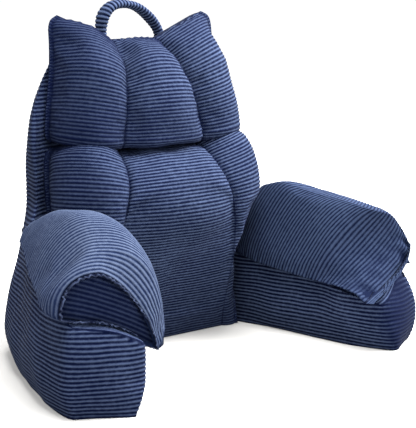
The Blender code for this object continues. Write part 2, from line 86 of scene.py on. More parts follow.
# Plan of the right half at its fullest height, from the arm's root round the arm.   x      y
ARM_INNER = [(0.226, 0.006), (0.229, -0.050), (0.237, -0.115), (0.243, -0.180),
             (0.249, -0.245), (0.256, -0.305), (0.275, -0.369)]
ARM_FRONT = [(0.275, -0.369), (0.287, -0.378), (0.335, -0.369), (0.380, -0.352), (0.401, -0.343)]
ARM_OUTER = [(0.401, -0.343), (0.409, -0.318), (0.399, -0.256), (0.374, -0.180),
             (0.345, -0.105), (0.316, -0.032)]
BACK_SIDE = [(0.316, -0.032), (0.276, 0.050), (0.220, 0.108), (0.120, 0.145), (0.0, 0.152)]

ROOT_TOP = 0.236             # the outer wall's top at the arm's root
# Tops of an arm's two walls from its root to its front.
#                     along  outer    inner
ARM_TOP = {"right": [(0.00, ROOT_TOP, 0.148), (0.50, 0.206, 0.130), (0.82, 0.168, 0.107),
                     (1.00, 0.145, 0.090)],
           "left": [(0.00, ROOT_TOP, 0.148), (0.50, 0.206, 0.130), (0.88, 0.162, 0.116),
                    (1.00, 0.150, 0.112)]}
# Top of its front, from the inner corner to the outer one.
FRONT_TOP = {"right": [(0.00, 0.090), (0.45, 0.114), (1.00, 0.145)],
             "left": [(0.00, 0.112), (0.45, 0.139), (1.00, 0.150)]}
TOE = (0.275, -0.369)        # the inner front corner stands forward at the floor
TOE_SHIFT = (0.017, -0.021)
TOE_SPREAD = 0.060
CORNER_SOFT = {"right": 12, "left": 0}     # how far that corner is rounded by the stuffing
CORNER_REACH = 9             # columns of the wall beside it that are rounded with it
INNER_CROWN = 0.002          # the inner wall turns in under the pad
INNER_START = 0.25           # fully so after this share of its length
ROOT_CROWN = 0.034           # the outer wall turns in at the arm's root
FRONT_CROWN = {"right": 0.042, "left": 0.018}     # and at the front corner
CROWN_BLEND = 0.6            # share of the outer wall between the two
ROOT_LATE, FRONT_LATE = 1.2, 2.0     # the higher, the closer to its top a wall turns in

# Upper part of the bag.          z      seam_x  seam_y  side_x  side_y  rear_y
BACK_SECTIONS = [(0.300, 0.2345, 0.003, 0.205, 0.078, 0.127),
                 (0.345, 0.2350, 0.003, 0.204, 0.070, 0.114),
                 (0.410, 0.2375, 0.003, 0.203, 0.058, 0.096),
                 (0.460, 0.2230, 0.020, 0.196, 0.054, 0.086),
                 (0.505, 0.2030, 0.0245, 0.180, 0.052, 0.078),
                 (0.540, 0.1780, 0.028, 0.158, 0.051, 0.072),
                 (0.558, 0.1540, 0.031, 0.136, 0.050, 0.068),
                 (0.566, 0.1340, 0.034, 0.120, 0.050, 0.066)]
UPPER_FROM_Z = 0.100         # below every point of the arms' roots
STRIP_WIDE = 0.022           # least width of the front beside the cushions
SIDE_IN = 0.955              # the side panel stands in by this much halfway to the rear
REAR_WIDE = 0.55             # where the rear rounds off, as a share of the width
REAR_ROUND = 0.006           # and how far before its rearmost line
SPINE_WIDE = 0.9             # the top's spine, as a share of its width

# Columns of mesh along the plan: front, arm's inner wall, its front, its outer wall, back.
ARM_STEPS, FRONT_STEPS, SIDE_STEPS, MID_STEPS = 44, 16, 44, 6
INNER_CORNER = MID_STEPS + ARM_STEPS
OUTER_CORNER = INNER_CORNER + FRONT_STEPS
ROOT_COLUMN = OUTER_CORNER + ARM_STEPS
LID_ROWS, LID_CORDS = 6, 50  # mesh rows to a step, and cords, over an arm's top
TOP_STEPS = 6
SEAM_DEPTH = 0.0022          # stitches pull the cloth in along a corner seam
SEAM_FADE = 0.004            # lumps and cords fade away this close to a sewn edge
SEAM_SHADE = 0.25            # what is left of the cords' paleness there
BAG_LUMPS = 0.0035           # unevenness of the stuffing
BAG_LUMP_SIZE = 0.085
CORD_WANDER = 0.0036         # the cords rise and dip where the cloth is drawn
CORD_LEVEL_Z = 0.05          # less so under this height
WANDER_NOISE = ((0.11, 41, 1.0), (0.05, 61, 0.35))     # size, seed, weight

# Painted light of each wall: below 1 is painted shade, as the right pad's shadow on its arm's front.
WALL_PAINTED_LIGHT = {"right": {"inner": 1.0, "front": 0.10}, "left": {"front": 0.66, "outer": 0.74}}
# Painted shade on the other walls, on the back above the arms and on the tops.
OTHER_PAINTED_LIGHT, UPPER_PAINTED_LIGHT, TOP_PAINTED_LIGHT = 0.75, 0.65, 0.70
TOP_CREST = 0.6              # the rounded top has no cords
# The flat cloth's painted light is below 1: painted shade.
FLAT_CREST, FLAT_PAINTED_LIGHT = 0.4, 0.5      # flat cloth that is turned away from view
SIDE = {"right": 1, "left": -1}      # shapes are drawn for the right and mirrored

# Mottle of the cloth.  scale  detail  weight in the wear and shade
CLOTH_MOTTLE = [(11.0, 4.0, 0.40), (150.0, 3.0, 0.75), (700.0, 2.0, 0.40)]
# How pale the crests are against the troughs: wear on the crests, painted shade in the troughs.
CREST_WEAR_AND_SHADE = 0.95
CLOTH_FINISH = {"Sheen Weight": 0.01, "Sheen Roughness": 0.45, "Sheen Tint": (0.62, 0.72, 1.0, 1.0),
                "Specular IOR Level": 0.02}

# The troughs' colour is darkened with painted shade; the crests' colour is the cloth's own.
NAVY_TROUGH = (0.0005, 0.0015, 0.0090, 1.0)
NAVY_CREST = (0.0345, 0.0480, 0.0870, 1.0)


def smooth_curve(points):
    """Function of 0..1 through the points, by arc length (Catmull-Rom)."""
    pts = np.array(points, float)
    padded = np.vstack([pts[:1], pts, pts[-1:]])
    t = np.arange(16)[:, None] / 16
    dense = [0.5 * (2 * b + (c - a) * t + (2 * a - 5 * b + 4 * c - d) * t**2
                    + (3 * b - a - 3 * c + d) * t**3)
             for a, b, c, d in zip(padded, padded[1:], padded[2:], padded[3:])]
    dense = np.vstack(dense + [pts[-1:]])
    run = np.r_[0, np.cumsum(np.linalg.norm(np.diff(dense, axis=0), axis=1))]

    def at(share):
        way = np.asarray(share, float) * run[-1]
        return np.stack([np.interp(way, run, column) for column in dense.T], axis=-1)

    at.length = run[-1]
    return at


def smooth_table(table):
    """Function of a table's first column that gives the other columns, smoothly."""
    rows = smooth_curve(table)(np.linspace(0, 1, 500))

    def at(x):
        return np.stack([np.interp(x, rows[:, 0], column) for column in rows.T[1:]], axis=-1)

    return at


def cord(turns):
    """Cross-section of the corduroy, one turn a cord: 0 in a trough and 1 on a crest."""
    return np.abs(np.sin(math.pi * np.asarray(turns))) ** 0.6


def cords_along(grid):
    """Crest heights of a grid whose rows follow its cords."""
    return np.broadcast_to(cord(np.arange(len(grid)) / WALE_STEPS)[:, None], grid.shape[:2])


def still_edges(lift):
    """The same heights, none along the four edges, where the grid is sewn to others."""
    lift[[0, -1]] = 0.0
    lift[:, [0, -1]] = 0.0
    return lift


def normals(points, flip):
    """Unit normals of a grid of points."""
    out = np.cross(np.gradient(points, axis=1), np.gradient(points, axis=0)) * flip
    return out / np.maximum(np.linalg.norm(out, axis=-1, keepdims=True), 1e-12)


def lumps(points, size, seed):
    """Soft noise of about -1..1 at each point of a grid, of that wavelength."""
    flat = (points.reshape(-1, 3) / size + seed * 7.31).tolist()
    return np.array([noise.noise(p) for p in flat]).reshape(points.shape[:-1]) * 1.6


def evened(values):
    """The same values, each drawn halfway towards its two neighbours."""
    values = values.copy()
    values[1:-1] = (values[:-2] + 2 * values[1:-1] + values[2:]) / 4
    return values


def quads(rows, columns, first=0):
    """Faces of a grid of points that are counted row by row from the first."""
    index = first + np.arange(rows * columns).reshape(rows, columns)
    corners = (index[:-1, :-1], index[:-1, 1:], index[1:, 1:], index[1:, :-1])
    return np.stack(corners, axis=-1).reshape(-1, 4)


def back_wall_y(z):
    """Front wall of the bag behind the cushions."""
    return np.interp(z, [0, BACK_LEAN_Z, BACK_TOP_Z], [BACK_FRONT_Y, BACK_LEAN_Y, BACK_TOP_Y])


def coons(near, far, left, right):
    """Grid of points between four border curves; near and far run from left to right."""
    near, far, left, right = (np.array(c, float) for c in (near, far, left, right))
    u = np.linspace(0, 1, len(near))[None, :, None]
    v = np.linspace(0, 1, len(left))[:, None, None]
    corners = ((1 - u) * (1 - v) * near[0] + u * (1 - v) * near[-1]
               + (1 - u) * v * far[0] + u * v * far[-1])
    return (1 - v) * near[None] + v * far[None] + (1 - u) * left[:, None] + u * right[:, None] - corners


class Shade:
    """A value in a material that can be reckoned with like a number."""

    def __init__(self, tree, socket=None):
        self.tree, self.socket = tree, socket

    def node(self, kind, settings, inputs, out):
        made = self.tree.nodes.new(kind)
        for name, value in settings.items():
            setattr(made, name, value)
        for name, value in inputs.items():
            self.wire(value, made.inputs[name])
        return Shade(self.tree, made.outputs[out])

    def wire(self, value, target):
        if isinstance(value, Shade):
            self.tree.links.new(value.socket, target)
        else:
            target.default_value = value

    def reckon(self, operation, first, second):
        return self.node("ShaderNodeMath", {"operation": operation}, {0: first, 1: second}, 0)

    def blend(self, share, low, high):
        mixed = {0: share, 6: low, 7: high}
        return self.node("ShaderNodeMix", {"data_type": "RGBA"}, mixed, 2)

    def __add__(self, other):
        return self.reckon("ADD", self, other)

    def __sub__(self, other):
        return self.reckon("SUBTRACT", self, other)

    def __rsub__(self, other):
        return self.reckon("SUBTRACT", other, self)

    def __mul__(self, other):
        return self.reckon("MULTIPLY", self, other)

    def __pow__(self, other):
        return self.reckon("POWER", self, other)

    __radd__ = __add__
    __rmul__ = __mul__


def corduroy(name, trough, crest, narrow=5.0):
    """Brushed cotton cords: dark with painted shade in the troughs, pale and worn on the crests. The
    higher the last number, the narrower the pale part. Low painted light paints the whole cord
    trough-dark."""
    material = bpy.data.materials.new(name)
    material.use_nodes = True
    tree = material.node_tree
    shader = tree.nodes["Principled BSDF"]
    start = Shade(tree)
    place = start.node("ShaderNodeTexCoord", {}, {}, "Object")
    height = start.node("ShaderNodeAttribute", {"attribute_name": "crest"}, {}, "Fac")
    # From the troughs' painted shade to the worn crests, with a random mottle.
    wear_and_shade = height ** narrow * CREST_WEAR_AND_SHADE
    mottles = []
    for scale, detail, weight in CLOTH_MOTTLE:
        sockets = {"Vector": place, "Scale": scale, "Detail": detail}
        mottles.append(start.node("ShaderNodeTexNoise", {}, sockets, 0))
        wear_and_shade = wear_and_shade + (mottles[-1] - 0.5) * weight
    brushed, pile = mottles[1:]
    # Painted shade: where this is below 1 the whole cord is painted towards the trough colour.
    painted_light = start.node("ShaderNodeAttribute", {"attribute_name": "painted_light"}, {}, "Fac")
    start.wire(start.blend(painted_light, trough, start.blend(wear_and_shade, trough, crest)), shader.inputs["Base Color"])
    start.wire(0.80 + pile * 0.18, shader.inputs["Roughness"])
    bump = {"Strength": 0.35, "Distance": 0.0006, "Height": pile + brushed * 0.5}
    start.wire(start.node("ShaderNodeBump", {}, bump, 0), shader.inputs["Normal"])
    for socket, value in CLOTH_FINISH.items():
        shader.inputs[socket].default_value = value
    return material


def sewn_piece(name, grids, loops, material, slot, *nodes):
    """One piece from grids of (points, crest, painted light) and flat loops, joined where their edges
    meet.
    The painted light is 1 for the cloth's full colour and less where painted shade darkens it."""
    points, crests, painted_lights, faces = [], [], [], []
    for grid, crest, painted_light in grids:
        faces += quads(*grid.shape[:2], len(points)).tolist()
        points += grid.reshape(-1, 3).tolist()
        crests += np.broadcast_to(crest, grid.shape[:2]).ravel().tolist()
        painted_lights += np.broadcast_to(painted_light, grid.shape[:2]).ravel().tolist()
    for loop in loops:
        faces.append(list(range(len(points), len(points) + len(loop))))
        points += np.array(loop).tolist()
        crests += [FLAT_CREST] * len(loop)
        painted_lights += [FLAT_PAINTED_LIGHT] * len(loop)
    mesh = bpy.data.meshes.new(name)
    mesh.from_pydata(points, [], faces)
    mesh.attributes.new("crest", "FLOAT", "POINT").data.foreach_set("value", crests)
    mesh.attributes.new("painted_light", "FLOAT", "POINT").data.foreach_set("value", painted_lights)
    bm = bmesh.new()
    bm.from_mesh(mesh)
    bmesh.ops.remove_doubles(bm, verts=bm.verts, dist=2e-5)
    bmesh.ops.recalc_face_normals(bm, faces=bm.faces)
    bm.to_mesh(mesh)
    bm.free()
    mesh.shade_smooth()
    mesh.materials.append(material)
    piece = bpy.data.objects.new(name, mesh)
    bpy.context.scene.collection.objects.link(piece)
    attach(piece, "root")
    if nodes:
        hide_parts(*nodes)
    return piece


def bag_plan():
    """Right half of the plan from front centre to rear centre: place, panel, share along it."""
    corner = ARM_INNER[0]
    columns = [((corner[0] * i / MID_STEPS, corner[1]), "middle", 0.0) for i in range(MID_STEPS)]
    for panel, outline, steps in (("inner", ARM_INNER, ARM_STEPS), ("front", ARM_FRONT, FRONT_STEPS),
                                  ("outer", ARM_OUTER, ARM_STEPS), ("back", BACK_SIDE, SIDE_STEPS)):
        curve = smooth_curve(outline)
        for i in range(steps):
            share = i / steps
            columns.append((curve(share), panel, 1 - share if panel == "outer" else share))
    return columns + [(BACK_SIDE[-1], "back", 1.0)]


def wall_shape(panel, share, hand):
    """Top of a wall, how far it turns in up there, and how late it does so."""
    outer_top, inner_top = smooth_table(ARM_TOP[hand])(share)
    corner_crown = FRONT_CROWN[hand]
    if panel == "outer":
        forward = min(1.0, share / CROWN_BLEND)
        crown = ROOT_CROWN + (corner_crown - ROOT_CROWN) * forward
        return outer_top, crown, ROOT_LATE + (FRONT_LATE - ROOT_LATE) * forward
    if panel == "front":
        top = smooth_table(FRONT_TOP[hand])(share)[0]
        return top, INNER_CROWN + (corner_crown - INNER_CROWN) * share, FRONT_LATE
    if panel == "back":
        return ROOT_TOP, ROOT_CROWN, ROOT_LATE
    return inner_top, INNER_CROWN, FRONT_LATE


def soften(points, flip, fade, crest):
    """Stuffed cloth: drawn up and down, then lumps and cords along the surface's normals."""
    points = points.copy()
    drawn = sum(lumps(points, size, seed) * weight for size, seed, weight in WANDER_NOISE)
    points[..., 2] += drawn * CORD_WANDER * np.clip(points[..., 2] / CORD_LEVEL_Z, 0, 1) * (fade >= 1)
    out = normals(points, flip)
    puffed = points + out * (lumps(points, BAG_LUMP_SIZE, 1) * BAG_LUMPS * fade)[..., None]
    return puffed + out * (WALE_RISE * crest * fade)[..., None]


def lower_walls(hand):
    """Grid of the walls of one half, floor to top, its crest heights, and its bare top edge."""
    plan = bag_plan()
    places = np.array([place for place, _, _ in plan])
    corner = slice(INNER_CORNER - CORNER_REACH, INNER_CORNER + CORNER_REACH + 1)
    for _ in range(CORNER_SOFT[hand]):
        places[corner] = evened(places[corner])
    ahead = np.vstack([places[1:], places[-1:]]) - np.vstack([places[:1], places[:-1]])
    inward = np.stack([-ahead[:, 1], ahead[:, 0]], axis=1) / np.linalg.norm(ahead, axis=1)[:, None]
    shapes = np.array([wall_shape(panel, share, hand) for _, panel, share in plan])
    top, crown, late = shapes.T
    turning = np.array([min(1.0, share / INNER_START) if panel == "inner" else float(panel != "middle")
                        for _, panel, share in plan])
    step = WALE_PITCH / WALE_STEPS
    levels = np.arange(0, ROOT_TOP + step, step)
    z = np.minimum(levels[:, None], top[None, :])
    low = BASE_TUCK * np.clip(1 - z / BASE_BELLY_Z, 0, 1) ** 2
    high = crown * np.clip((z - BASE_BELLY_Z) / (top - BASE_BELLY_Z), 0, 1) ** late
    inset = (low + high) * turning
    flat = places[None] + inward[None] * inset[..., None]
    near_toe = np.exp(-np.sum((flat - TOE) ** 2, axis=-1) / TOE_SPREAD ** 2)
    flat += np.array(TOE_SHIFT) * (near_toe * np.clip(1 - z / BASE_BELLY_Z, 0, 1))[..., None]
    flat[:, -1, 0] = 0.0
    straight = turning == 0
    flat[:, straight, 1] = back_wall_y(z[:, straight])
    grid = np.dstack([flat, z]) * (SIDE[hand], 1, 1)
    crest = cords_along(grid)
    fade = np.clip((top - z) / SEAM_FADE, 0, 1) * np.clip(z / SEAM_FADE, 0, 1)
    raised = soften(grid, SIDE[hand], fade, crest)
    raised[:, [0, -1], 0] = 0.0
    for seam in [OUTER_CORNER] if CORNER_SOFT[hand] else [INNER_CORNER, OUTER_CORNER]:
        raised[:, seam, :2] += inward[seam] * (SIDE[hand], 1) * SEAM_DEPTH * fade[:, seam, None]
    return raised, crest * (SEAM_SHADE + (1 - SEAM_SHADE) * fade), grid[-1]


def wall_painted_light(hand):
    """Painted light of each column of the walls, blended round a soft corner; below 1 is painted shade.
    """
    painted_light = np.array([WALL_PAINTED_LIGHT[hand].get(panel, OTHER_PAINTED_LIGHT) for _, panel, _ in bag_plan()])
    for _ in range(CORNER_SOFT[hand]):
        painted_light = evened(painted_light)
    return painted_light[None]


def arm_top(edge):
    """Grid over one arm's top, under its pad, and the row where the upper back starts."""
    inner, front = edge[MID_STEPS:INNER_CORNER + 1], edge[INNER_CORNER:OUTER_CORNER + 1]
    outer = edge[OUTER_CORNER:ROOT_COLUMN + 1][::-1]
    root = inner[0] + (outer[0] - inner[0]) * np.linspace(0, 1, FRONT_STEPS + 1)[:, None]
    start = np.vstack([edge[:MID_STEPS], root[:-1], edge[ROOT_COLUMN:]])
    coarse = coons(root, front, inner, outer)
    run = np.linspace(0, ARM_STEPS, ARM_STEPS * LID_ROWS + 1)
    low = np.minimum(run.astype(int), ARM_STEPS - 1)
    part = (run - low)[:, None, None]
    lid = coarse[low] * (1 - part) + coarse[low + 1] * part
    crest = np.broadcast_to(cord(run / ARM_STEPS * LID_CORDS)[:, None], lid.shape[:2])
    lid[1:-1, 1:-1, 2] += crest[1:-1, 1:-1] * WALE_RISE
    return lid, crest, start


def upper_back(start, hand):
    """Grid of one half of the back above the arms, closed by a rounded top."""
    side = SIDE[hand]
    step = WALE_PITCH / WALE_STEPS
    levels = np.append(np.arange(round(UPPER_FROM_Z / step) * step, BACK_TOP_Z, step), BACK_TOP_Z)
    section = smooth_table(BACK_SECTIONS)
    foot = BACK_SECTIONS[0][0]

    def row_at(z):
        seam_x, seam_y, side_x, side_y, rear_y = section(z)
        strip_x, wall_y = min(ARM_INNER[0][0], seam_x - STRIP_WIDE), back_wall_y(z)
        front = [(strip_x * i / MID_STEPS, wall_y) for i in range(MID_STEPS)]
        strip = [(strip_x + (seam_x - strip_x) * i / FRONT_STEPS,
                  wall_y + (seam_y - wall_y) * i / FRONT_STEPS) for i in range(FRONT_STEPS)]
        round_back = smooth_curve([(seam_x, seam_y), (seam_x * SIDE_IN, (seam_y + side_y) / 2),
                                   (side_x, side_y), (side_x * REAR_WIDE, rear_y - REAR_ROUND),
                                   (0.0, rear_y)])
        return np.array(front + strip + list(round_back(np.linspace(0, 1, SIDE_STEPS + 1)))) * (side, 1)

    at_foot = row_at(foot)
    a_little = 0.004
    slope = (row_at(foot + a_little) - at_foot) / a_little
    low = start[:, 2]
    rows = []
    for level in levels:
        z = np.maximum(level, low)
        if level >= foot:
            rows.append(np.column_stack([row_at(level), z]))
            continue
        rise = foot - low
        t = ((z - low) / rise)[:, None]
        mean = at_foot - start[:, :2]
        blend = (start[:, :2] * (2 * t**3 - 3 * t**2 + 1) + mean * (t**3 - 2 * t**2 + t)
                 + at_foot * (3 * t**2 - 2 * t**3) + slope * rise[:, None] * (t**3 - t**2))
        rows.append(np.column_stack([blend, z]))
    grid = np.array(rows)
    crest = np.broadcast_to(cord(levels / WALE_PITCH)[:, None], grid.shape[:2]).copy()
    crest[-1] = 0.0
    fade = (np.clip((levels[:, None] - low) / SEAM_FADE, 0, 1)
            * np.clip((BACK_TOP_Z - levels[:, None]) / SEAM_FADE, 0, 1))
    raised = soften(grid, side, fade, crest)
    raised[:, [0, -1], 0] = 0.0
    seam = MID_STEPS + FRONT_STEPS
    raised[:, seam] += np.array([-0.7 * side, 0.7, 0]) * SEAM_DEPTH * fade[:, seam, None]
    spine = grid[-1] * (SPINE_WIDE, 0, 1) + (0, (BACK_TOP_Y + BACK_SECTIONS[-1][5]) / 2, 0)
    turn = np.linspace(0, math.pi / 2, TOP_STEPS + 1)[:, None, None]
    crown = spine + (grid[-1] - spine) * np.cos(turn) + np.array([0, 0, TOP_CROWN]) * np.sin(turn)
    return [(raised, crest, UPPER_PAINTED_LIGHT), (crown, TOP_CREST, TOP_PAINTED_LIGHT)]


bag_grids, bag_floors = [], []
for hand in SIDE:
    walls, wall_crest, wall_edge = lower_walls(hand)
    lid, lid_crest, upper_start = arm_top(wall_edge)
    bag_grids += [(walls, wall_crest, wall_painted_light(hand)), (lid, lid_crest, TOP_PAINTED_LIGHT)]
    bag_grids += upper_back(upper_start, hand)
    bag_floors.append(walls[0, MID_STEPS:ROOT_COLUMN + 1])
    bag_floors.append(np.vstack([walls[0, :MID_STEPS + 1], walls[0, ROOT_COLUMN:]]))
bag_cloth = corduroy("navy_corduroy", NAVY_TROUGH, NAVY_CREST)
bag = sewn_piece("bag", bag_grids, bag_floors, bag_cloth, "bag_corduroy", "body")


# ------------------------ back cushion
# A cushion sewn in three upright channels leans on the bag between the arms. Its edge is a flat
# sewn flange with two rows of stitches, and it is fullest just under the headrest.
# Seams of the right half, floor to top.   x      y       z
BACK_SEAM = [(0.1810, -0.0250, 0.0015), (0.1730, -0.0390, 0.0350), (0.1655, -0.0620, 0.0900),
             (0.1580, -0.0840, 0.1470), (0.1460, -0.1050, 0.2050), (0.1310, -0.1190, 0.2500),
             (0.1200, -0.1210, 0.2900), (0.1100, -0.1122, 0.3233), (0.1013, -0.0890, 0.3540),
             (0.0940, -0.0560, 0.3720), (0.0900, 0.0080, 0.3760)]
BACK_EDGE = [(0.2190, -0.0300, 0.0015), (0.2160, -0.0250, 0.0500), (0.2100, -0.0150, 0.1100),
             (0.2060, -0.0020, 0.1700), (0.2080, 0.0030, 0.2300), (0.2120, 0.0060, 0.2900),
             (0.2130, 0.0075, 0.3430), (0.2090, 0.0080, 0.3740), (0.1950, 0.0080, 0.3870)]
# Swell of the channels by height.   z     side    middle
BACK_BULGE = [(0.000, 0.004, 0.000), (0.060, 0.006, 0.004), (0.150, 0.012, 0.012),
              (0.200, 0.030, 0.018), (0.244, 0.045, 0.022), (0.283, 0.064, 0.026),
              (0.340, 0.064, 0.026), (0.385, 0.056, 0.024)]
BACK_CORDS = 1.14            # more cords on the swell than along its seams
BACK_TILT = (-0.5, 0.30)     # limits of how far the swell points down and up
BACK_TOP_CLOSE = 0.07        # share of the height over which its top closes
SIDE_FULL, MID_FULL = 0.72, 0.75     # powers of a channel's section: the lower, the fuller
SIDE_COLUMNS, MID_COLUMNS, FLANGE_COLUMNS = 18, 14, 3
FLANGE_WIDE = 0.008
FLANGE_CORDS = 0.6           # its cords are pressed flatter
STITCH_EVERY, STITCH_ROWS = 4, 2
STITCHED_TO = 0.86           # share of the edge where the stitches show
PUCKER = 0.0016              # depth of the gathers beside a seam
PUCKER_PITCH = 0.016
HEM_PUCKER = 0.0012          # and of those along the level edges
HEM_PUCKER_PITCH = 0.015
HEM_PUCKER_REACH = 0.012
# The seams' hollows are darkened with painted shade.
SEAM_NEAR, SEAM_PAINTED_SHADE = 0.08, 0.30    # the cords are darker in the seams
CUSHION_LUMPS = 0.0035
CUSHION_LUMP_SIZE = 0.075
# Painted light on the back cushion: painted shade towards its left side, its foot and its top.
BACK_PAINTED_LIGHT = ((-0.20, -0.08, 0.08, 0.20), (0.65, 0.95, 1.0, 1.0))       # across, painted light
BACK_PAINTED_LIGHT_UP = ((0.02, 0.12, 0.24, 0.33), (0.64, 1.0, 1.08, 0.76))    # height, painted light
CUSHION_FULLNESS = 0.012     # how much the cloth is too large for its seams
REST_GAP = 0.0005            # between a cushion's back and the bag

SETTLE_PRESSURE = 4.0
SETTLE_FRAMES = 20
SETTLE_LIMIT = 0.004         # no point moves further than this
SETTLE_EVERY = 5             # one row to a cord is simulated


def filled_out(grid, held, outward, fullness):
    """The grid as a cloth simulation leaves it: the filling presses the too large cloth outwards
    while its held points, the seams and hems, stay where they are."""
    kept = np.unique(np.r_[0:len(grid):SETTLE_EVERY, len(grid) - 1])
    coarse = grid[kept]
    mesh = bpy.data.meshes.new("settling")
    faces = quads(*coarse.shape[:2])[:, ::outward].tolist()
    mesh.from_pydata(coarse.reshape(-1, 3).tolist(), [], faces)
    sheet = bpy.data.objects.new("settling", mesh)
    bpy.context.scene.collection.objects.link(sheet)
    sheet.vertex_groups.new(name="held").add(np.flatnonzero(held[kept]).tolist(), 1.0, "REPLACE")
    cloth = sheet.modifiers.new("cloth", "CLOTH")
    cloth.settings.vertex_group_mass = "held"
    cloth.settings.effector_weights.gravity = 0.0
    cloth.settings.use_pressure = True
    cloth.settings.uniform_pressure_force = SETTLE_PRESSURE
    cloth.settings.shrink_min = -fullness
    cloth.settings.bending_stiffness = 4.0
    cloth.settings.quality = 6
    cloth.point_cache.frame_end = SETTLE_FRAMES
    for moment in range(1, SETTLE_FRAMES + 1):
        bpy.context.scene.frame_set(moment)
    final = sheet.evaluated_get(bpy.context.evaluated_depsgraph_get()).data
    places = np.empty(len(final.vertices) * 3)
    final.vertices.foreach_get("co", places)
    moved = places.reshape(coarse.shape) - coarse
    far = np.linalg.norm(moved, axis=-1, keepdims=True)
    moved = evened(moved * np.minimum(1.0, SETTLE_LIMIT / np.maximum(far, 1e-9)))
    bpy.data.objects.remove(sheet)
    bpy.data.meshes.remove(mesh)
    bpy.context.scene.frame_set(1)
    run = np.arange(len(grid))
    low = np.minimum(np.searchsorted(kept, run, side="right") - 1, len(kept) - 2)
    part = ((run - kept[low]) / (kept[low + 1] - kept[low]))[:, None, None]
    return grid + moved[low] * (1 - part) + moved[low + 1] * part


def facing(out, tilt):
    """Unit directions of a channel's swell, their upward part kept between two limits."""
    out = out / np.linalg.norm(out, axis=-1, keepdims=True)
    out = np.stack([out[..., 0], np.minimum(out[..., 1], -0.6), np.clip(out[..., 2], *tilt)], axis=-1)
    return out / np.linalg.norm(out, axis=-1, keepdims=True)


def channelled_half(seam, edge, edge_share, bulge, rows, tilt):
    """Right half of a cushion's front, centre to sewn tip: points and nearness to a seam."""
    v = np.linspace(0, 1, rows + 1)
    beside = edge_share(v)
    s, tip = seam(v), edge(beside)
    side_h, mid_h = (h[:, None, None] for h in bulge(v))
    inwards = (s - tip) / np.linalg.norm(s - tip, axis=1)[:, None]
    e = tip + inwards * FLANGE_WIDE
    near, far = np.maximum(v - 0.01, 0), np.minimum(v + 0.01, 1)
    up_seam, up_edge = seam(far) - seam(near), edge(edge_share(far)) - edge(edge_share(near))
    out = facing(np.cross(e - s, up_seam + up_edge), tilt)[:, None]
    ahead = facing(np.stack([0 * v, -up_seam[:, 2], up_seam[:, 1]], axis=1), tilt)[:, None]
    t = np.sin(np.linspace(0, math.pi / 2, MID_COLUMNS + 1)[:-1])[None, :, None]
    middle = s[:, None] * (t * (1, 0, 0) + (0, 1, 1)) + ahead * mid_h * (1 - t**2) ** MID_FULL
    w = (0.5 - 0.5 * np.cos(np.linspace(0, math.pi, SIDE_COLUMNS + 1)))[None, :, None]
    side = s[:, None] + (e - s)[:, None] * w + out * side_h * (4 * w * (1 - w)) ** SIDE_FULL
    f = (np.arange(1, FLANGE_COLUMNS + 1) / FLANGE_COLUMNS)[None, :, None]
    flange = e[:, None] + (tip - e)[:, None] * f
    near_seam = np.concatenate([t.ravel() ** 8, 1 - (4 * w * (1 - w)).ravel() ** 0.8,
                                np.ones(FLANGE_COLUMNS)])
    return np.concatenate([middle, side, flange], axis=1), near_seam


def both_halves(half):
    """A right half, centre to tip, with its mirror image before it."""
    return np.concatenate([half[:, ::-1] * (-1, 1, 1), half[:, 1:]], axis=1)


def stuffed_front(half, near_seam, seed, hem_pucker):
    """Both halves of a cushion's front with its lumps, gathers and cords, and the crest heights."""
    grid = both_halves(half)
    near_seam = np.concatenate([near_seam[::-1], near_seam[1:]])
    free = 1 - near_seam
    rows = len(grid) - 1
    held = np.broadcast_to(free < 0.001, grid.shape[:2]).copy()
    held[:rows // 9] = held[-rows // 14:] = True
    grid = filled_out(grid, held, -1, CUSHION_FULLNESS)
    v = np.linspace(0, 1, rows + 1)[:, None]
    inside = np.clip(v / 0.05, 0, 1) * np.clip((1 - v) / 0.05, 0, 1)
    out = normals(grid, -1.0)
    soft = lumps(grid, CUSHION_LUMP_SIZE, seed) * CUSHION_LUMPS * free * inside
    height = v * rows / WALE_STEPS * WALE_PITCH
    beside = np.exp(-free * 4.0) * free * 4.0
    gather = np.sin(2 * math.pi * height / PUCKER_PITCH + 3 * lumps(grid, 0.05, seed + 1))
    at_hems = np.exp(-height / HEM_PUCKER_REACH) + np.exp((height - height[-1]) / HEM_PUCKER_REACH)
    level = np.sin(2 * math.pi * grid[..., 0] / HEM_PUCKER_PITCH + 2.5 * lumps(grid, 0.03, seed + 2))
    crest = cords_along(grid)
    flat_flange = np.ones(grid.shape[1])
    flat_flange[:FLANGE_COLUMNS] = flat_flange[-FLANGE_COLUMNS:] = FLANGE_CORDS
    level = level * at_hems * hem_pucker * free
    lift = still_edges(soft + gather * beside * PUCKER + level + crest * WALE_RISE * flat_flange)
    # Painted shade in the seams' hollows, less in the pressed flange.
    shade = crest * (1 - SEAM_PAINTED_SHADE * np.where(free < SEAM_NEAR, 1 - free / SEAM_NEAR, 0) * flat_flange)
    stitches = np.arange(rows + 1) % STITCH_EVERY < STITCH_ROWS
    for column in (1, -2):
        shade[:, column] = np.where(v[:, 0] < STITCHED_TO, stitches, crest[:, 0])
    return grid + out * lift[..., None], shade


def flat_back(front, plane):
    """Border and back of a cushion that lies against the bag."""
    loop = np.vstack([front[0], front[1:, -1], front[-1][::-1][1:], front[1:-1, 0][::-1]])
    behind = np.column_stack([loop[:, 0], plane(loop[:, 2]), loop[:, 2]])
    closed = [np.vstack([ring, ring[:1]]) for ring in (loop, behind)]
    return np.array(closed), behind


def back_bulge(v):
    side_h, mid_h = smooth_table(BACK_BULGE)(back_edge(back_share(v))[:, 2]).T
    close = np.clip((1 - v) / BACK_TOP_CLOSE, 0, 1) ** 0.5
    return side_h * close, mid_h * close


def back_share(v):
    return np.interp(v, [0, 0.80, 1], [0, 0.93, 1])


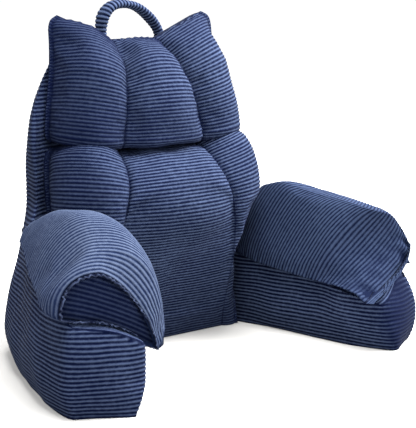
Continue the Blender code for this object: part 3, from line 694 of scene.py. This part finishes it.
back_seam, back_edge = smooth_curve(BACK_SEAM), smooth_curve(BACK_EDGE)
back_rows = WALE_STEPS * round(back_seam.length * BACK_CORDS / WALE_PITCH)
back_half, back_near = channelled_half(back_seam, back_edge, back_share, back_bulge, back_rows, BACK_TILT)
back_front, back_crest = stuffed_front(back_half, back_near, 11, HEM_PUCKER)
back_border, back_behind = flat_back(back_front, lambda z: back_wall_y(z) - REST_GAP)
back_painted_light = np.interp(back_front[..., 0], *BACK_PAINTED_LIGHT) * np.interp(back_front[..., 2], *BACK_PAINTED_LIGHT_UP)
back_grids = [(back_front, back_crest, back_painted_light), (back_border, FLAT_CREST, FLAT_PAINTED_LIGHT)]
back_piece = sewn_piece("back_cushion_cover", back_grids, [back_behind], bag_cloth,
                        "cushion_corduroy", "back_cushion")


# ------------------------ headrest
# A smaller cushion with three channels and two pointed upper corners stands on the back cushion
# and hides the bag's top. Its lower edge is gathered.
HEAD_SEAM = [(0.0900, 0.0080, 0.3830), (0.0910, -0.0350, 0.3805), (0.0915, -0.0600, 0.3820),
             (0.0912, -0.0710, 0.3920), (0.0902, -0.0720, 0.4065), (0.0841, -0.0704, 0.4357),
             (0.0785, -0.0660, 0.4651), (0.0726, -0.0571, 0.4943), (0.0637, -0.0407, 0.5230),
             (0.0563, -0.0135, 0.5495), (0.0500, 0.0185, 0.5745)]
HEAD_EDGE = [(0.190, 0.0080, 0.3950), (0.204, 0.0085, 0.4000), (0.2095, 0.0090, 0.4140),
             (0.2065, 0.0100, 0.4520), (0.200, 0.0120, 0.4900), (0.194, 0.0150, 0.5300),
             (0.191, 0.0180, 0.5700), (0.190, 0.0205, 0.5980), (0.184, 0.0225, 0.6140),
             (0.168, 0.0250, 0.6225)]
HEAD_CORDS = 1.20
# Painted light on the headrest: painted shade towards its left side, its foot and its top.
HEAD_PAINTED_LIGHT = ((-0.20, -0.08, 0.08, 0.20), (0.42, 0.62, 0.86, 1.0))
HEAD_PAINTED_LIGHT_UP = ((0.41, 0.50, 0.56, 0.61), (0.75, 1.0, 0.82, 0.55))
HEAD_BULGE_SIDE = 0.052
HEAD_BULGE_MID = 0.036
HEAD_CLOSE = (0.07, 0.34)    # shares of the height over which its foot and its top close
HEAD_TILT = (0.0, 0.9)
HEAD_PUCKER = 0.0030
EAR_SWELL = 0.012            # the ears' fullness behind, above the bag
# Painted shade on the ears' backs.
EAR_BACK_PAINTED_LIGHT = 0.7


def head_bulge(v):
    full = np.clip(v / HEAD_CLOSE[0], 0, 1) ** 0.5 * np.clip((1 - v) / HEAD_CLOSE[1], 0, 1) ** 0.5
    return HEAD_BULGE_SIDE * full, HEAD_BULGE_MID * full


def head_plane(z):
    slope = (BACK_TOP_Y - BACK_LEAN_Y) / (BACK_TOP_Z - BACK_LEAN_Z)
    return BACK_LEAN_Y + slope * (z - BACK_LEAN_Z) - REST_GAP


def head_share(v):
    return np.interp(v, [0, 0.26, 1], [0, 0.07, 1])


head_seam, head_edge = smooth_curve(HEAD_SEAM), smooth_curve(HEAD_EDGE)
head_rows = WALE_STEPS * round(head_seam.length * HEAD_CORDS / WALE_PITCH)
head_half, head_near = channelled_half(head_seam, head_edge, head_share, head_bulge, head_rows, HEAD_TILT)
head_front, head_crest = stuffed_front(head_half, head_near, 23, HEAD_PUCKER)
flat_half, _ = channelled_half(head_seam, head_edge, head_share, lambda v: (0 * v, 0 * v), head_rows,
                               HEAD_TILT)
head_behind = both_halves(flat_half)
across = np.linspace(0, 1, head_front.shape[1])
from_edge = np.clip(np.minimum(across, 1 - across) / 0.10, 0, 1)
above = np.clip((head_behind[..., 2] - BACK_TOP_Z) / 0.03, 0, 1)
below_top = np.clip(np.linspace(1, 0, len(head_behind)) / 0.06, 0, 1)[:, None]
swell = EAR_SWELL * above * below_top + WALE_RISE * head_crest * above
settled = head_plane(head_behind[..., 2]) + swell
head_behind[..., 1] += (settled - head_behind[..., 1]) * from_edge
for border in ((0, slice(None)), (-1, slice(None)), (slice(None), 0), (slice(None), -1)):
    head_behind[border] = head_front[border]
head_painted_light = np.interp(head_front[..., 0], *HEAD_PAINTED_LIGHT) * np.interp(head_front[..., 2], *HEAD_PAINTED_LIGHT_UP)
head_grids = [(head_front, head_crest, head_painted_light), (head_behind, head_crest, EAR_BACK_PAINTED_LIGHT)]
head_piece = sewn_piece("headrest_cover", head_grids, [], bag_cloth, "cushion_corduroy",
                        "headrest_cushion")


# ------------------------ arm pads
# A thick half-round pad is sewn over each arm with its cords across the arm. Its lower edges are
# gathered a little and stand clear of the arm's walls.
# Rows from the back cushion to the front end; the last one is the end's own arch.
#             inner hem  x        y       z  ridge    x        y       z  outer hem x       y       z
PAD_RIGHT = [(0.2230, -0.0240, 0.1450, 0.2700, -0.0441, 0.2770, 0.3120, -0.0620, 0.2420),
             (0.2240, -0.0720, 0.1330, 0.2740, -0.1020, 0.2910, 0.3380, -0.1120, 0.2300),
             (0.2290, -0.1500, 0.1260, 0.2850, -0.1700, 0.2810, 0.3720, -0.1840, 0.2040),
             (0.2380, -0.2300, 0.1190, 0.3000, -0.2400, 0.2710, 0.3960, -0.2450, 0.1830),
             (0.2410, -0.3050, 0.1150, 0.3170, -0.2950, 0.2570, 0.4060, -0.2800, 0.1660),
             (0.2425, -0.3350, 0.1080, 0.3590, -0.3150, 0.2390, 0.4040, -0.2960, 0.1560),
             (0.2442, -0.3544, 0.0975, 0.3920, -0.3290, 0.1880, 0.3960, -0.3060, 0.1450)]
PAD_LEFT = [(0.2230, -0.0240, 0.1450, 0.2700, -0.0441, 0.2660, 0.3120, -0.0620, 0.2380),
            (0.2240, -0.0720, 0.1330, 0.2720, -0.1020, 0.2900, 0.3370, -0.1120, 0.2300),
            (0.2270, -0.1600, 0.1260, 0.2830, -0.1700, 0.3040, 0.3720, -0.1840, 0.2040),
            (0.2260, -0.2500, 0.1180, 0.2930, -0.2250, 0.3070, 0.3960, -0.2450, 0.1830),
            (0.2230, -0.3250, 0.1120, 0.3040, -0.2700, 0.2940, 0.4100, -0.2800, 0.1720),
            (0.2290, -0.3560, 0.1040, 0.3230, -0.3100, 0.2660, 0.4130, -0.3050, 0.1670),
            (0.2470, -0.3640, 0.0975, 0.3421, -0.3366, 0.2330, 0.4070, -0.3180, 0.1640)]
# How early the hems run forward, against the ridge: the left pad's cords are turned to the front.
#                     inner  outer
PAD_TURN = {"right": (1.45, 1.00), "left": (0.40, 1.45)}
# Powers of an arch's width and height, inner side and outer side: below 1 full, above 1 sloping.
PAD_BODY = {"right": ((1.40, 1.70), (0.85, 0.85)), "left": ((0.74, 0.74), (1.00, 1.50))}
PAD_NOSE = {"right": ((4.00, 2.00), (0.70, 0.70)), "left": ((1.35, 1.35), (0.80, 0.80))}
PAD_NOSE_FROM = {"right": 0.70, "left": 0.87}       # share of the length where the nose begins
PAD_PITCH = {"right": 0.0080, "left": 0.0079}       # one cord to the next along the ridge
END_NORMAL = np.array([0.276, -0.961, 0.0])     # square out from the pad's front end
PAD_ACROSS = 44
PAD_LUMPS = 0.0022
PAD_FULLNESS = 0.010
PAD_SEED = {"right": 31, "left": 37}
REAR_CALM, FRONT_CALM = 10, 6        # rows beside the pad's ends without lumps
HEM_WAVE = 0.0030                    # the lower edge is drawn up by its stitches
HEM_WAVE_PITCH, HEM_WAVE_REACH = 0.019, 0.035
LID_GAP = 0.0012                     # between the underside and the arm
UNDER_SHARES = np.linspace(0.06, 0.94, 11)     # points across the underside
ABOVE_ALL_Z = 1.0                    # they are dropped onto the arm from here
# The left pad's cloth is painted lighter and the right pad's darker, as light falls on them: painted
# light and painted shade.
PAD_TROUGH = {"right": (0.0012, 0.0026, 0.0105, 1.0), "left": (0.0035, 0.0068, 0.0215, 1.0)}
PAD_CREST = {"right": (0.0190, 0.0280, 0.0540, 1.0), "left": (0.0430, 0.0560, 0.0900, 1.0)}
PAD_NARROW = {"right": 2.8, "left": 3.6}      # its cords are worn wider than the bag's
PAD_BUNCH = 0.80                     # power of the cords' spacing: wider apart at the back end
UNDER_PAINTED_SHADE, LIP_PAINTED_SHADE = (0.3, 0.0), (0.2, 0.1)      # crest and painted light of the hidden cloth, nearly black with painted shade
# Painted light along the pad and across it, each as places and values; below 1 is painted shade.
PAD_PAINTED_LIGHT = {"right": ((0.55, 1.00), (1.00, 0.68), (0.0, 1.0), (1.0, 1.0)),
           "left": ((0.00, 1.00), (1.00, 0.92), (0.55, 0.90), (1.0, 0.62))}
NOSE_GATHER = {"right": 0.0042, "left": 0.0}  # folds that run back from the drawn front edge
# The folds' hollows are darkened with painted shade.
NOSE_FOLDS, NOSE_REACH, NOSE_PAINTED_SHADE = 60, 0.07, 200
LIP_DEEP = {"right": 0.001, "left": 0.012}     # the pad's cloth turns in round its front end
LIP_SHARE = 0.96


def arch(inner, ridge, outer, powers):
    """Arch from the inner hem over the ridge to the outer hem."""
    angle = np.linspace(0, math.pi, PAD_ACROSS + 1)
    past = (angle > math.pi / 2).astype(int)
    hem = np.where(past[:, None] == 0, inner, outer)
    over = np.abs(np.cos(angle)) ** powers[past, 0]
    up = np.sin(angle).clip(0) ** powers[past, 1]
    foot = np.column_stack([np.full(len(angle), ridge[0]), np.full(len(angle), ridge[1]), hem[:, 2]])
    points = foot + (hem - foot) * over[:, None]
    points[:, 2] = hem[:, 2] + (ridge[2] - hem[:, 2]) * up
    return points


def pad_surface(hand):
    """Rows of arches from the pad's back to its front end, for the right-hand side of the frame."""
    table = np.array(PAD_RIGHT if hand == "right" else PAD_LEFT)
    inner, ridge, outer = (smooth_curve(table[:, k:k + 3]) for k in (0, 3, 6))
    inner_turn, outer_turn = PAD_TURN[hand]
    rows = WALE_STEPS * round(ridge.length / PAD_PITCH[hand])
    v = np.linspace(0, 1, rows + 1) ** PAD_BUNCH
    nose = np.clip((v - PAD_NOSE_FROM[hand]) / (1 - PAD_NOSE_FROM[hand]), 0, 1)[:, None, None]
    powers = np.array(PAD_BODY[hand]) * (1 - nose) + np.array(PAD_NOSE[hand]) * nose
    arches = zip(inner(v ** inner_turn), ridge(v), outer(v ** outer_turn), powers)
    return np.array([arch(*ends) for ends in arches])


def resting_z(x, y, z, gap):
    """Height of a point, raised where it would be less than the gap above the arm's cloth."""
    cloth = bag_tree.ray_cast(Vector((x, y, ABOVE_ALL_Z)), Vector((0, 0, -1)))[0]
    return max(z, cloth.z + gap if cloth else 0.0)


def pad_underside(grid):
    """Rows of points from hem to hem that lie on the arm's top."""
    under = []
    for points in grid:
        row = [points[0]]
        for share in UNDER_SHARES:
            x, y, z = points[0] + (points[-1] - points[0]) * share
            row.append((x, y, resting_z(x, y, z, LID_GAP)))
        under.append(row + [points[-1]])
    return np.array(under)


bag_tree = BVHTree.FromObject(bag, bpy.context.evaluated_depsgraph_get())
pad_border = {}
for hand, side in SIDE.items():
    seed = PAD_SEED[hand]
    grid = pad_surface(hand)
    pad_border[hand] = grid[-1]
    grid = grid * (side, 1, 1)
    rows = len(grid) - 1
    held = np.zeros(grid.shape[:2], bool)
    held[[0, -1]] = held[:, [0, -1]] = True
    grid = filled_out(grid, held, -side, PAD_FULLNESS)
    crest = cords_along(grid)
    share = np.linspace(0, 1, PAD_ACROSS + 1)[None, :]
    from_hem = np.minimum(share, 1 - share)
    row = np.arange(rows + 1)[:, None]
    ends = np.clip(row / REAR_CALM, 0, 1) * np.clip((rows - row) / FRONT_CALM, 0, 1)
    out = normals(grid, -side)
    turns = row * WALE_PITCH / WALE_STEPS / HEM_WAVE_PITCH
    wave = np.sin(2 * math.pi * turns + 3 * lumps(grid, 0.04, seed)) * np.exp(-from_hem / HEM_WAVE_REACH)
    forward = row / rows
    folds = np.sin(NOSE_FOLDS * share + 4 * lumps(grid, 0.05, seed + 5))
    folds *= np.exp((forward - 1) / NOSE_REACH)
    wave = wave * HEM_WAVE + folds * NOSE_GATHER[hand]
    # Painted shade in the hollows of the folds.
    crest = crest * (1 - NOSE_PAINTED_SHADE * NOSE_GATHER[hand] * np.clip(-folds, 0, 0.7))
    lift = (lumps(grid, 0.07, seed + 1) * PAD_LUMPS * ends + wave * ends * (from_hem > 0)
            + crest * WALE_RISE * (from_hem > 0))
    lift[[0, -1]] = 0.0
    raised = grid + out * lift[..., None]
    under = pad_underside(raised)
    rear, front = (np.vstack([raised[k], under[k][::-1][1:-1]]) for k in (0, -1))
    middle = front.mean(axis=0)
    lip = middle + (front - middle) * LIP_SHARE - END_NORMAL * (side, 1, 1) * LIP_DEEP[hand]
    turned_in = np.array([np.vstack([ring, ring[:1]]) for ring in (front, lip)])
    places, shares, sides, side_painted_lights = PAD_PAINTED_LIGHT[hand]
    painted_light = np.interp(forward, places, shares) * np.interp(share, sides, side_painted_lights)
    pad_cloth = corduroy("pad_corduroy_" + hand, PAD_TROUGH[hand], PAD_CREST[hand], PAD_NARROW[hand])
    pad_grids = [(raised, crest, painted_light), (under, *UNDER_PAINTED_SHADE), (turned_in, *LIP_PAINTED_SHADE)]
    pad = sewn_piece("arm_pad_cover_" + hand, pad_grids, [rear, lip], pad_cloth,
                     "pad_corduroy", "arm_pad_" + hand)


# ------------------------ pad ends
# The left pad's front end is closed by a flat D-shaped panel, set back behind its ruffle. On the
# right pad the cloth runs on over the front and is drawn together at its lower edge.
END_SET_BACK = 0.011
END_CROWN = 0.010
HEM_ARCH = 0.010             # its lower cords rise over the arm's rounded top
RIGHT_END_CROWN = 0.016
# Painted light of the pad ends: the left pad's set-back panel is darkened with painted shade.
END_PAINTED_LIGHT = {"right": 0.9, "left": 0.24}
DRAWN_PITCH = 0.013          # gathers along the right pad's drawn edge
DRAWN_DEEP = 0.0026
LEFT_END_TOP = 0.995         # the panel stops just under the arch
END_ACROSS, RIGHT_END_CORDS = 28, 12
END_LUMPS = 0.0018


def left_end(border):
    """Panel with its cords level with the hem, from the hem up to the top of the arch."""
    base = border[0] + (border[-1] - border[0]) * ((border - border[0]) @ (border[-1] - border[0])
                                                   / np.sum((border[-1] - border[0]) ** 2))[:, None]
    height = border[:, 2] - base[:, 2]
    peak = int(np.argmax(height))
    rows = WALE_STEPS * round(height[peak] / WALE_PITCH)
    grid = []
    across = np.linspace(0, 1, END_ACROSS + 1)[:, None]
    swell = 4 * across * (1 - across)
    for up in np.linspace(0, LEFT_END_TOP, rows + 1):
        ends = [np.array([np.interp(up * height[peak], height[half][::order], border[half][::order, c])
                          for c in range(3)])
                for half, order in ((slice(0, peak + 1), 1), (slice(peak, None), -1))]
        bulge = END_CROWN * (swell * 4 * up * (1 - up)) ** 0.5
        arched = np.array([0, 0, HEM_ARCH]) * swell * (1 - up)
        grid.append(ends[0] + (ends[1] - ends[0]) * across + END_NORMAL * (bulge - END_SET_BACK) + arched)
    return np.array(grid)


def right_end(border):
    """Cloth that runs from the pad's shoulder down to its drawn-in lower edge."""
    hem = border[0] + (border[-1] - border[0]) * np.linspace(0, 1, PAD_ACROSS + 1)[:, None]
    drawn = np.linalg.norm(hem - hem[0], axis=1)
    gather = np.sin(2 * math.pi * drawn / DRAWN_PITCH + 3 * lumps(hem[None], 0.03, 44)[0]) * DRAWN_DEEP
    grid = []
    for s in np.linspace(0, 1, WALE_STEPS * RIGHT_END_CORDS + 1):
        swell = RIGHT_END_CROWN * math.sin(math.pi * min(s * 1.05, 1.0)) ** 0.6
        grid.append(border + (hem - border) * s + END_NORMAL * (swell + gather * s ** 2)[:, None])
    return np.array(grid)


end_shape = {"right": right_end, "left": left_end}
for hand, side in SIDE.items():
    grid = end_shape[hand](pad_border[hand]) * (side, 1, 1)
    crest = cords_along(grid)
    ripple = still_edges(lumps(grid, 0.03, 41) * END_LUMPS + crest * WALE_RISE)
    raised = grid + END_NORMAL * (side, 1, 1) * ripple[..., None]
    # The right end takes the right pad's cloth, which is painted darker with painted shade.
    end_cloth = bpy.data.materials["pad_corduroy_right"] if hand == "right" else bag_cloth
    pad_end = sewn_piece("pad_end_cover_" + hand, [(raised, crest, END_PAINTED_LIGHT[hand])], [], end_cloth,
                         "pad_corduroy", "pad_end_" + hand)


# ------------------------ pad rims
# A narrow ruffle of the same cloth stands round the left pad's front end, and along the lower
# front edge of the right pad.
FRILL_THICK = 0.0022         # half the doubled cloth
#                      depth   wave in and out
FRILL = {"right": (0.0050, 0.0012), "left": (0.0085, 0.0016)}
RUFFLE_PITCH = 0.0110
RUFFLE_STRAY = 9.0           # how unevenly the gathers follow each other
STRAY_SIZE, DEPTH_SIZE = 0.022, 0.060
FRILL_SIDES = 10
# Painted light of the ruffles: the right one is darkened with painted shade.
RIM_PAINTED_LIGHT = {"right": 0.7, "left": 1.0}
RIM_STEPS = 8                # rings to a ruffle
RIM_HEM_STEPS = 29
RIGHT_RIM_CLIMB = 14         # points of the arch that the right ruffle climbs at its outer end
RIM_TROUGH = (0.0005, 0.0013, 0.0065, 1.0)
RIM_CREST = (0.032, 0.042, 0.076, 1.0)
HEM_REST = 0.003             # the ruffle lies on the arm's top


def ruffle(line, centre, seed, deep, waves):
    """Closed frill along a line, waving in and out, its depth uneven from gather to gather."""
    way = np.r_[0, np.cumsum(np.linalg.norm(np.diff(line, axis=0), axis=1))]
    rings = int(way[-1] / RUFFLE_PITCH * RIM_STEPS)
    run = np.linspace(0, way[-1], rings + 1)
    places = np.stack([np.interp(run, way, column) for column in line.T], axis=-1)
    uneven = np.array([noise.noise((s / STRAY_SIZE, seed, 0)) for s in run])
    broad = np.array([noise.noise((s / DEPTH_SIZE, seed, 9)) for s in run])
    phase = 2 * math.pi * run / RUFFLE_PITCH + RUFFLE_STRAY * uneven
    outward = places - centre
    outward /= np.linalg.norm(outward, axis=1)[:, None]
    depth = deep * (0.78 + 0.22 * np.sin(phase * 0.5 + 1.0) + 0.55 * broad)
    wave = waves * np.sin(phase) * (1 + 0.9 * uneven)
    angle = np.linspace(0, 2 * math.pi, FRILL_SIDES + 1)
    forward = 0.5 - 0.5 * np.cos(angle)
    aside = np.sin(angle)[None] * FRILL_THICK + forward[None] * wave[:, None]
    ahead = END_NORMAL * (forward[None] * depth[:, None])[..., None]
    # The frill is painted pale where it stands forward and dark at its back against the pad: painted
    # highlight and painted shade.
    crest = np.clip(forward[None] * (0.85 + 0.3 * uneven)[:, None] + 0.08 * np.sin(phase)[:, None], 0, 1)
    return places[:, None] + outward[:, None] * (aside - FRILL_THICK)[..., None] + ahead, crest


for hand, side in SIDE.items():
    border = pad_border[hand]
    hem = border[-1] + (border[0] - border[-1]) * np.linspace(0, 1, RIM_HEM_STEPS + 1)[1:, None]
    for place in hem:
        place[2] = resting_z(place[0] * side, place[1], place[2], HEM_REST)
    climb = border if hand == "left" else border[-RIGHT_RIM_CLIMB:]
    roll, crest = ruffle(np.vstack([climb, hem]), border.mean(axis=0), 51.0 + side, *FRILL[hand])
    roll = roll * (side, 1, 1)
    caps = [] if hand == "left" else [roll[0, :-1], roll[-1, :-1]]
    rim_cloth = corduroy("ruffle_corduroy_" + hand, RIM_TROUGH, RIM_CREST)
    rim = sewn_piece("pad_rim_cover_" + hand, [(roll, crest, RIM_PAINTED_LIGHT[hand])], caps, rim_cloth,
                     "rim_corduroy", "pad_rim_" + hand)


# ------------------------ carry handle
# A tube of the same corduroy, its cords round it, is sewn into the top of the bag as a loop.
HANDLE_PATH = [(-0.054, 0.0460, 0.5665), (-0.056, 0.0460, 0.590), (-0.051, 0.0440, 0.618),
               (-0.034, 0.0430, 0.6350), (-0.008, 0.0425, 0.6390), (0.024, 0.0430, 0.6330),
               (0.054, 0.0440, 0.6140), (0.077, 0.0460, 0.590), (0.084, 0.0460, 0.5665)]
# Shares of the loop's length and its thickness there.
HANDLE_THICK = ((0.0, 0.25, 0.5, 0.8, 1.0), (0.020, 0.017, 0.011, 0.014, 0.016))
HANDLE_WIDE = 0.028
HANDLE_FOOT_WIDE = 0.018     # pinched where it is sewn in
HANDLE_FOOT_Z = 0.592
HANDLE_SPREAD = 0.02         # height over which it widens
HANDLE_SIDES, HANDLE_STEPS = 24, 6     # points round the tube, and rings to a cord
HANDLE_RIB = 0.0022

handle_curve = smooth_curve(HANDLE_PATH)
ribs = round(handle_curve.length / WALE_PITCH)
share = np.linspace(0, 1, ribs * HANDLE_STEPS + 1)
middle = handle_curve(share)
ahead = handle_curve(np.minimum(share + 0.01, 1)) - handle_curve(np.maximum(share - 0.01, 0))
ahead[[0, -1]] = ((0, 0, 1), (0, 0, -1))
ahead /= np.linalg.norm(ahead, axis=1)[:, None]
wide = np.array([0.0, 1.0, 0.0])
thick = np.cross(wide, ahead)
crest = cord(np.arange(len(share)) / HANDLE_STEPS)
spread = np.clip((middle[:, 2] - HANDLE_FOOT_Z) / HANDLE_SPREAD, 0, 1)
half_wide = (HANDLE_FOOT_WIDE + (HANDLE_WIDE - HANDLE_FOOT_WIDE) * spread) / 2 + HANDLE_RIB * crest
half_thick = np.interp(share, *HANDLE_THICK) / 2 + HANDLE_RIB * crest
angle = np.linspace(0, 2 * math.pi, HANDLE_SIDES + 1)
tube = (middle[:, None] + wide * (np.cos(angle) * half_wide[:, None])[..., None]
        + thick[:, None] * (np.sin(angle) * half_thick[:, None])[..., None])
handle = sewn_piece("carry_handle_cover", [(tube, crest[:, None], 1.0)], [tube[0, :-1], tube[-1, :-1]],
                    bag_cloth, "handle_corduroy", "carry_handle")


# ------------------------ floor and light
# Seamless near-white studio floor under four soft lamps: a strong one from the right and one from
# above, and two weak ones from the front and from the left. The surroundings are white.
FLOOR_SIZE = 60.0
FLOOR_NEAR = (0.235, 0.230, 0.222, 1.0)      # under the lamps, where it is lit most
FLOOR_FAR = (0.85, 0.85, 0.85, 1.0)           # and where their light has faded
FLOOR_FADE = 6.0             # distance from one to the other
FLOOR_ROUGH = 0.9
FLOOR_GLOW = 0.19            # so that the floor runs into the white behind it

bpy.ops.mesh.primitive_plane_add(size=FLOOR_SIZE, location=(0, 0, 0))
floor = bpy.context.object
floor.name = "floor"
floor_paint = bpy.data.materials.new("floor_paint")
floor_paint.use_nodes = True
floor_shader = floor_paint.node_tree.nodes["Principled BSDF"]
floor_shader.inputs["Roughness"].default_value = FLOOR_ROUGH
floor_shader.inputs["Emission Color"].default_value = (1.0, 1.0, 1.0, 1.0)
floor_shader.inputs["Emission Strength"].default_value = FLOOR_GLOW
spot = Shade(floor_paint.node_tree)
place = spot.node("ShaderNodeTexCoord", {}, {}, "Object")
distance = spot.node("ShaderNodeVectorMath", {"operation": "LENGTH"}, {0: place}, 1)
faded = spot.node("ShaderNodeMapRange", {}, {"Value": distance, "From Max": FLOOR_FADE}, 0)
spot.wire(spot.blend(faded, FLOOR_NEAR, FLOOR_FAR), floor_shader.inputs["Base Color"])
floor.data.materials.append(floor_paint)

#          name        place                  aims at            size   watts
LIGHTS = [("key", (2.0, -1.0, 2.1), (0.0, -0.1, 0.25), 1.2, 560.0),
          ("top", (-0.2, -0.6, 3.0), (0.0, -0.1, 0.25), 1.6, 330.0),
          ("fill", (-0.2, -3.2, 1.5), (0.0, -0.1, 0.20), 1.6, 120.0),
          ("side", (-2.6, -1.2, 0.9), (0.0, -0.1, 0.20), 1.6, 60.0)]
for name, place, target, size, watts in LIGHTS:
    lamp = bpy.data.lights.new(name, "AREA")
    lamp.size = size
    lamp.energy = watts
    aimed(name, lamp, place, Vector(target) - Vector(place))

world = bpy.data.worlds.new("studio")
world.use_nodes = True
world.node_tree.nodes["Background"].inputs["Color"].default_value = (1.0, 1.0, 1.0, 1.0)
world.node_tree.nodes["Background"].inputs["Strength"].default_value = 1.0
bpy.context.scene.world = world
bpy.context.scene.view_settings.view_transform = "Standard"
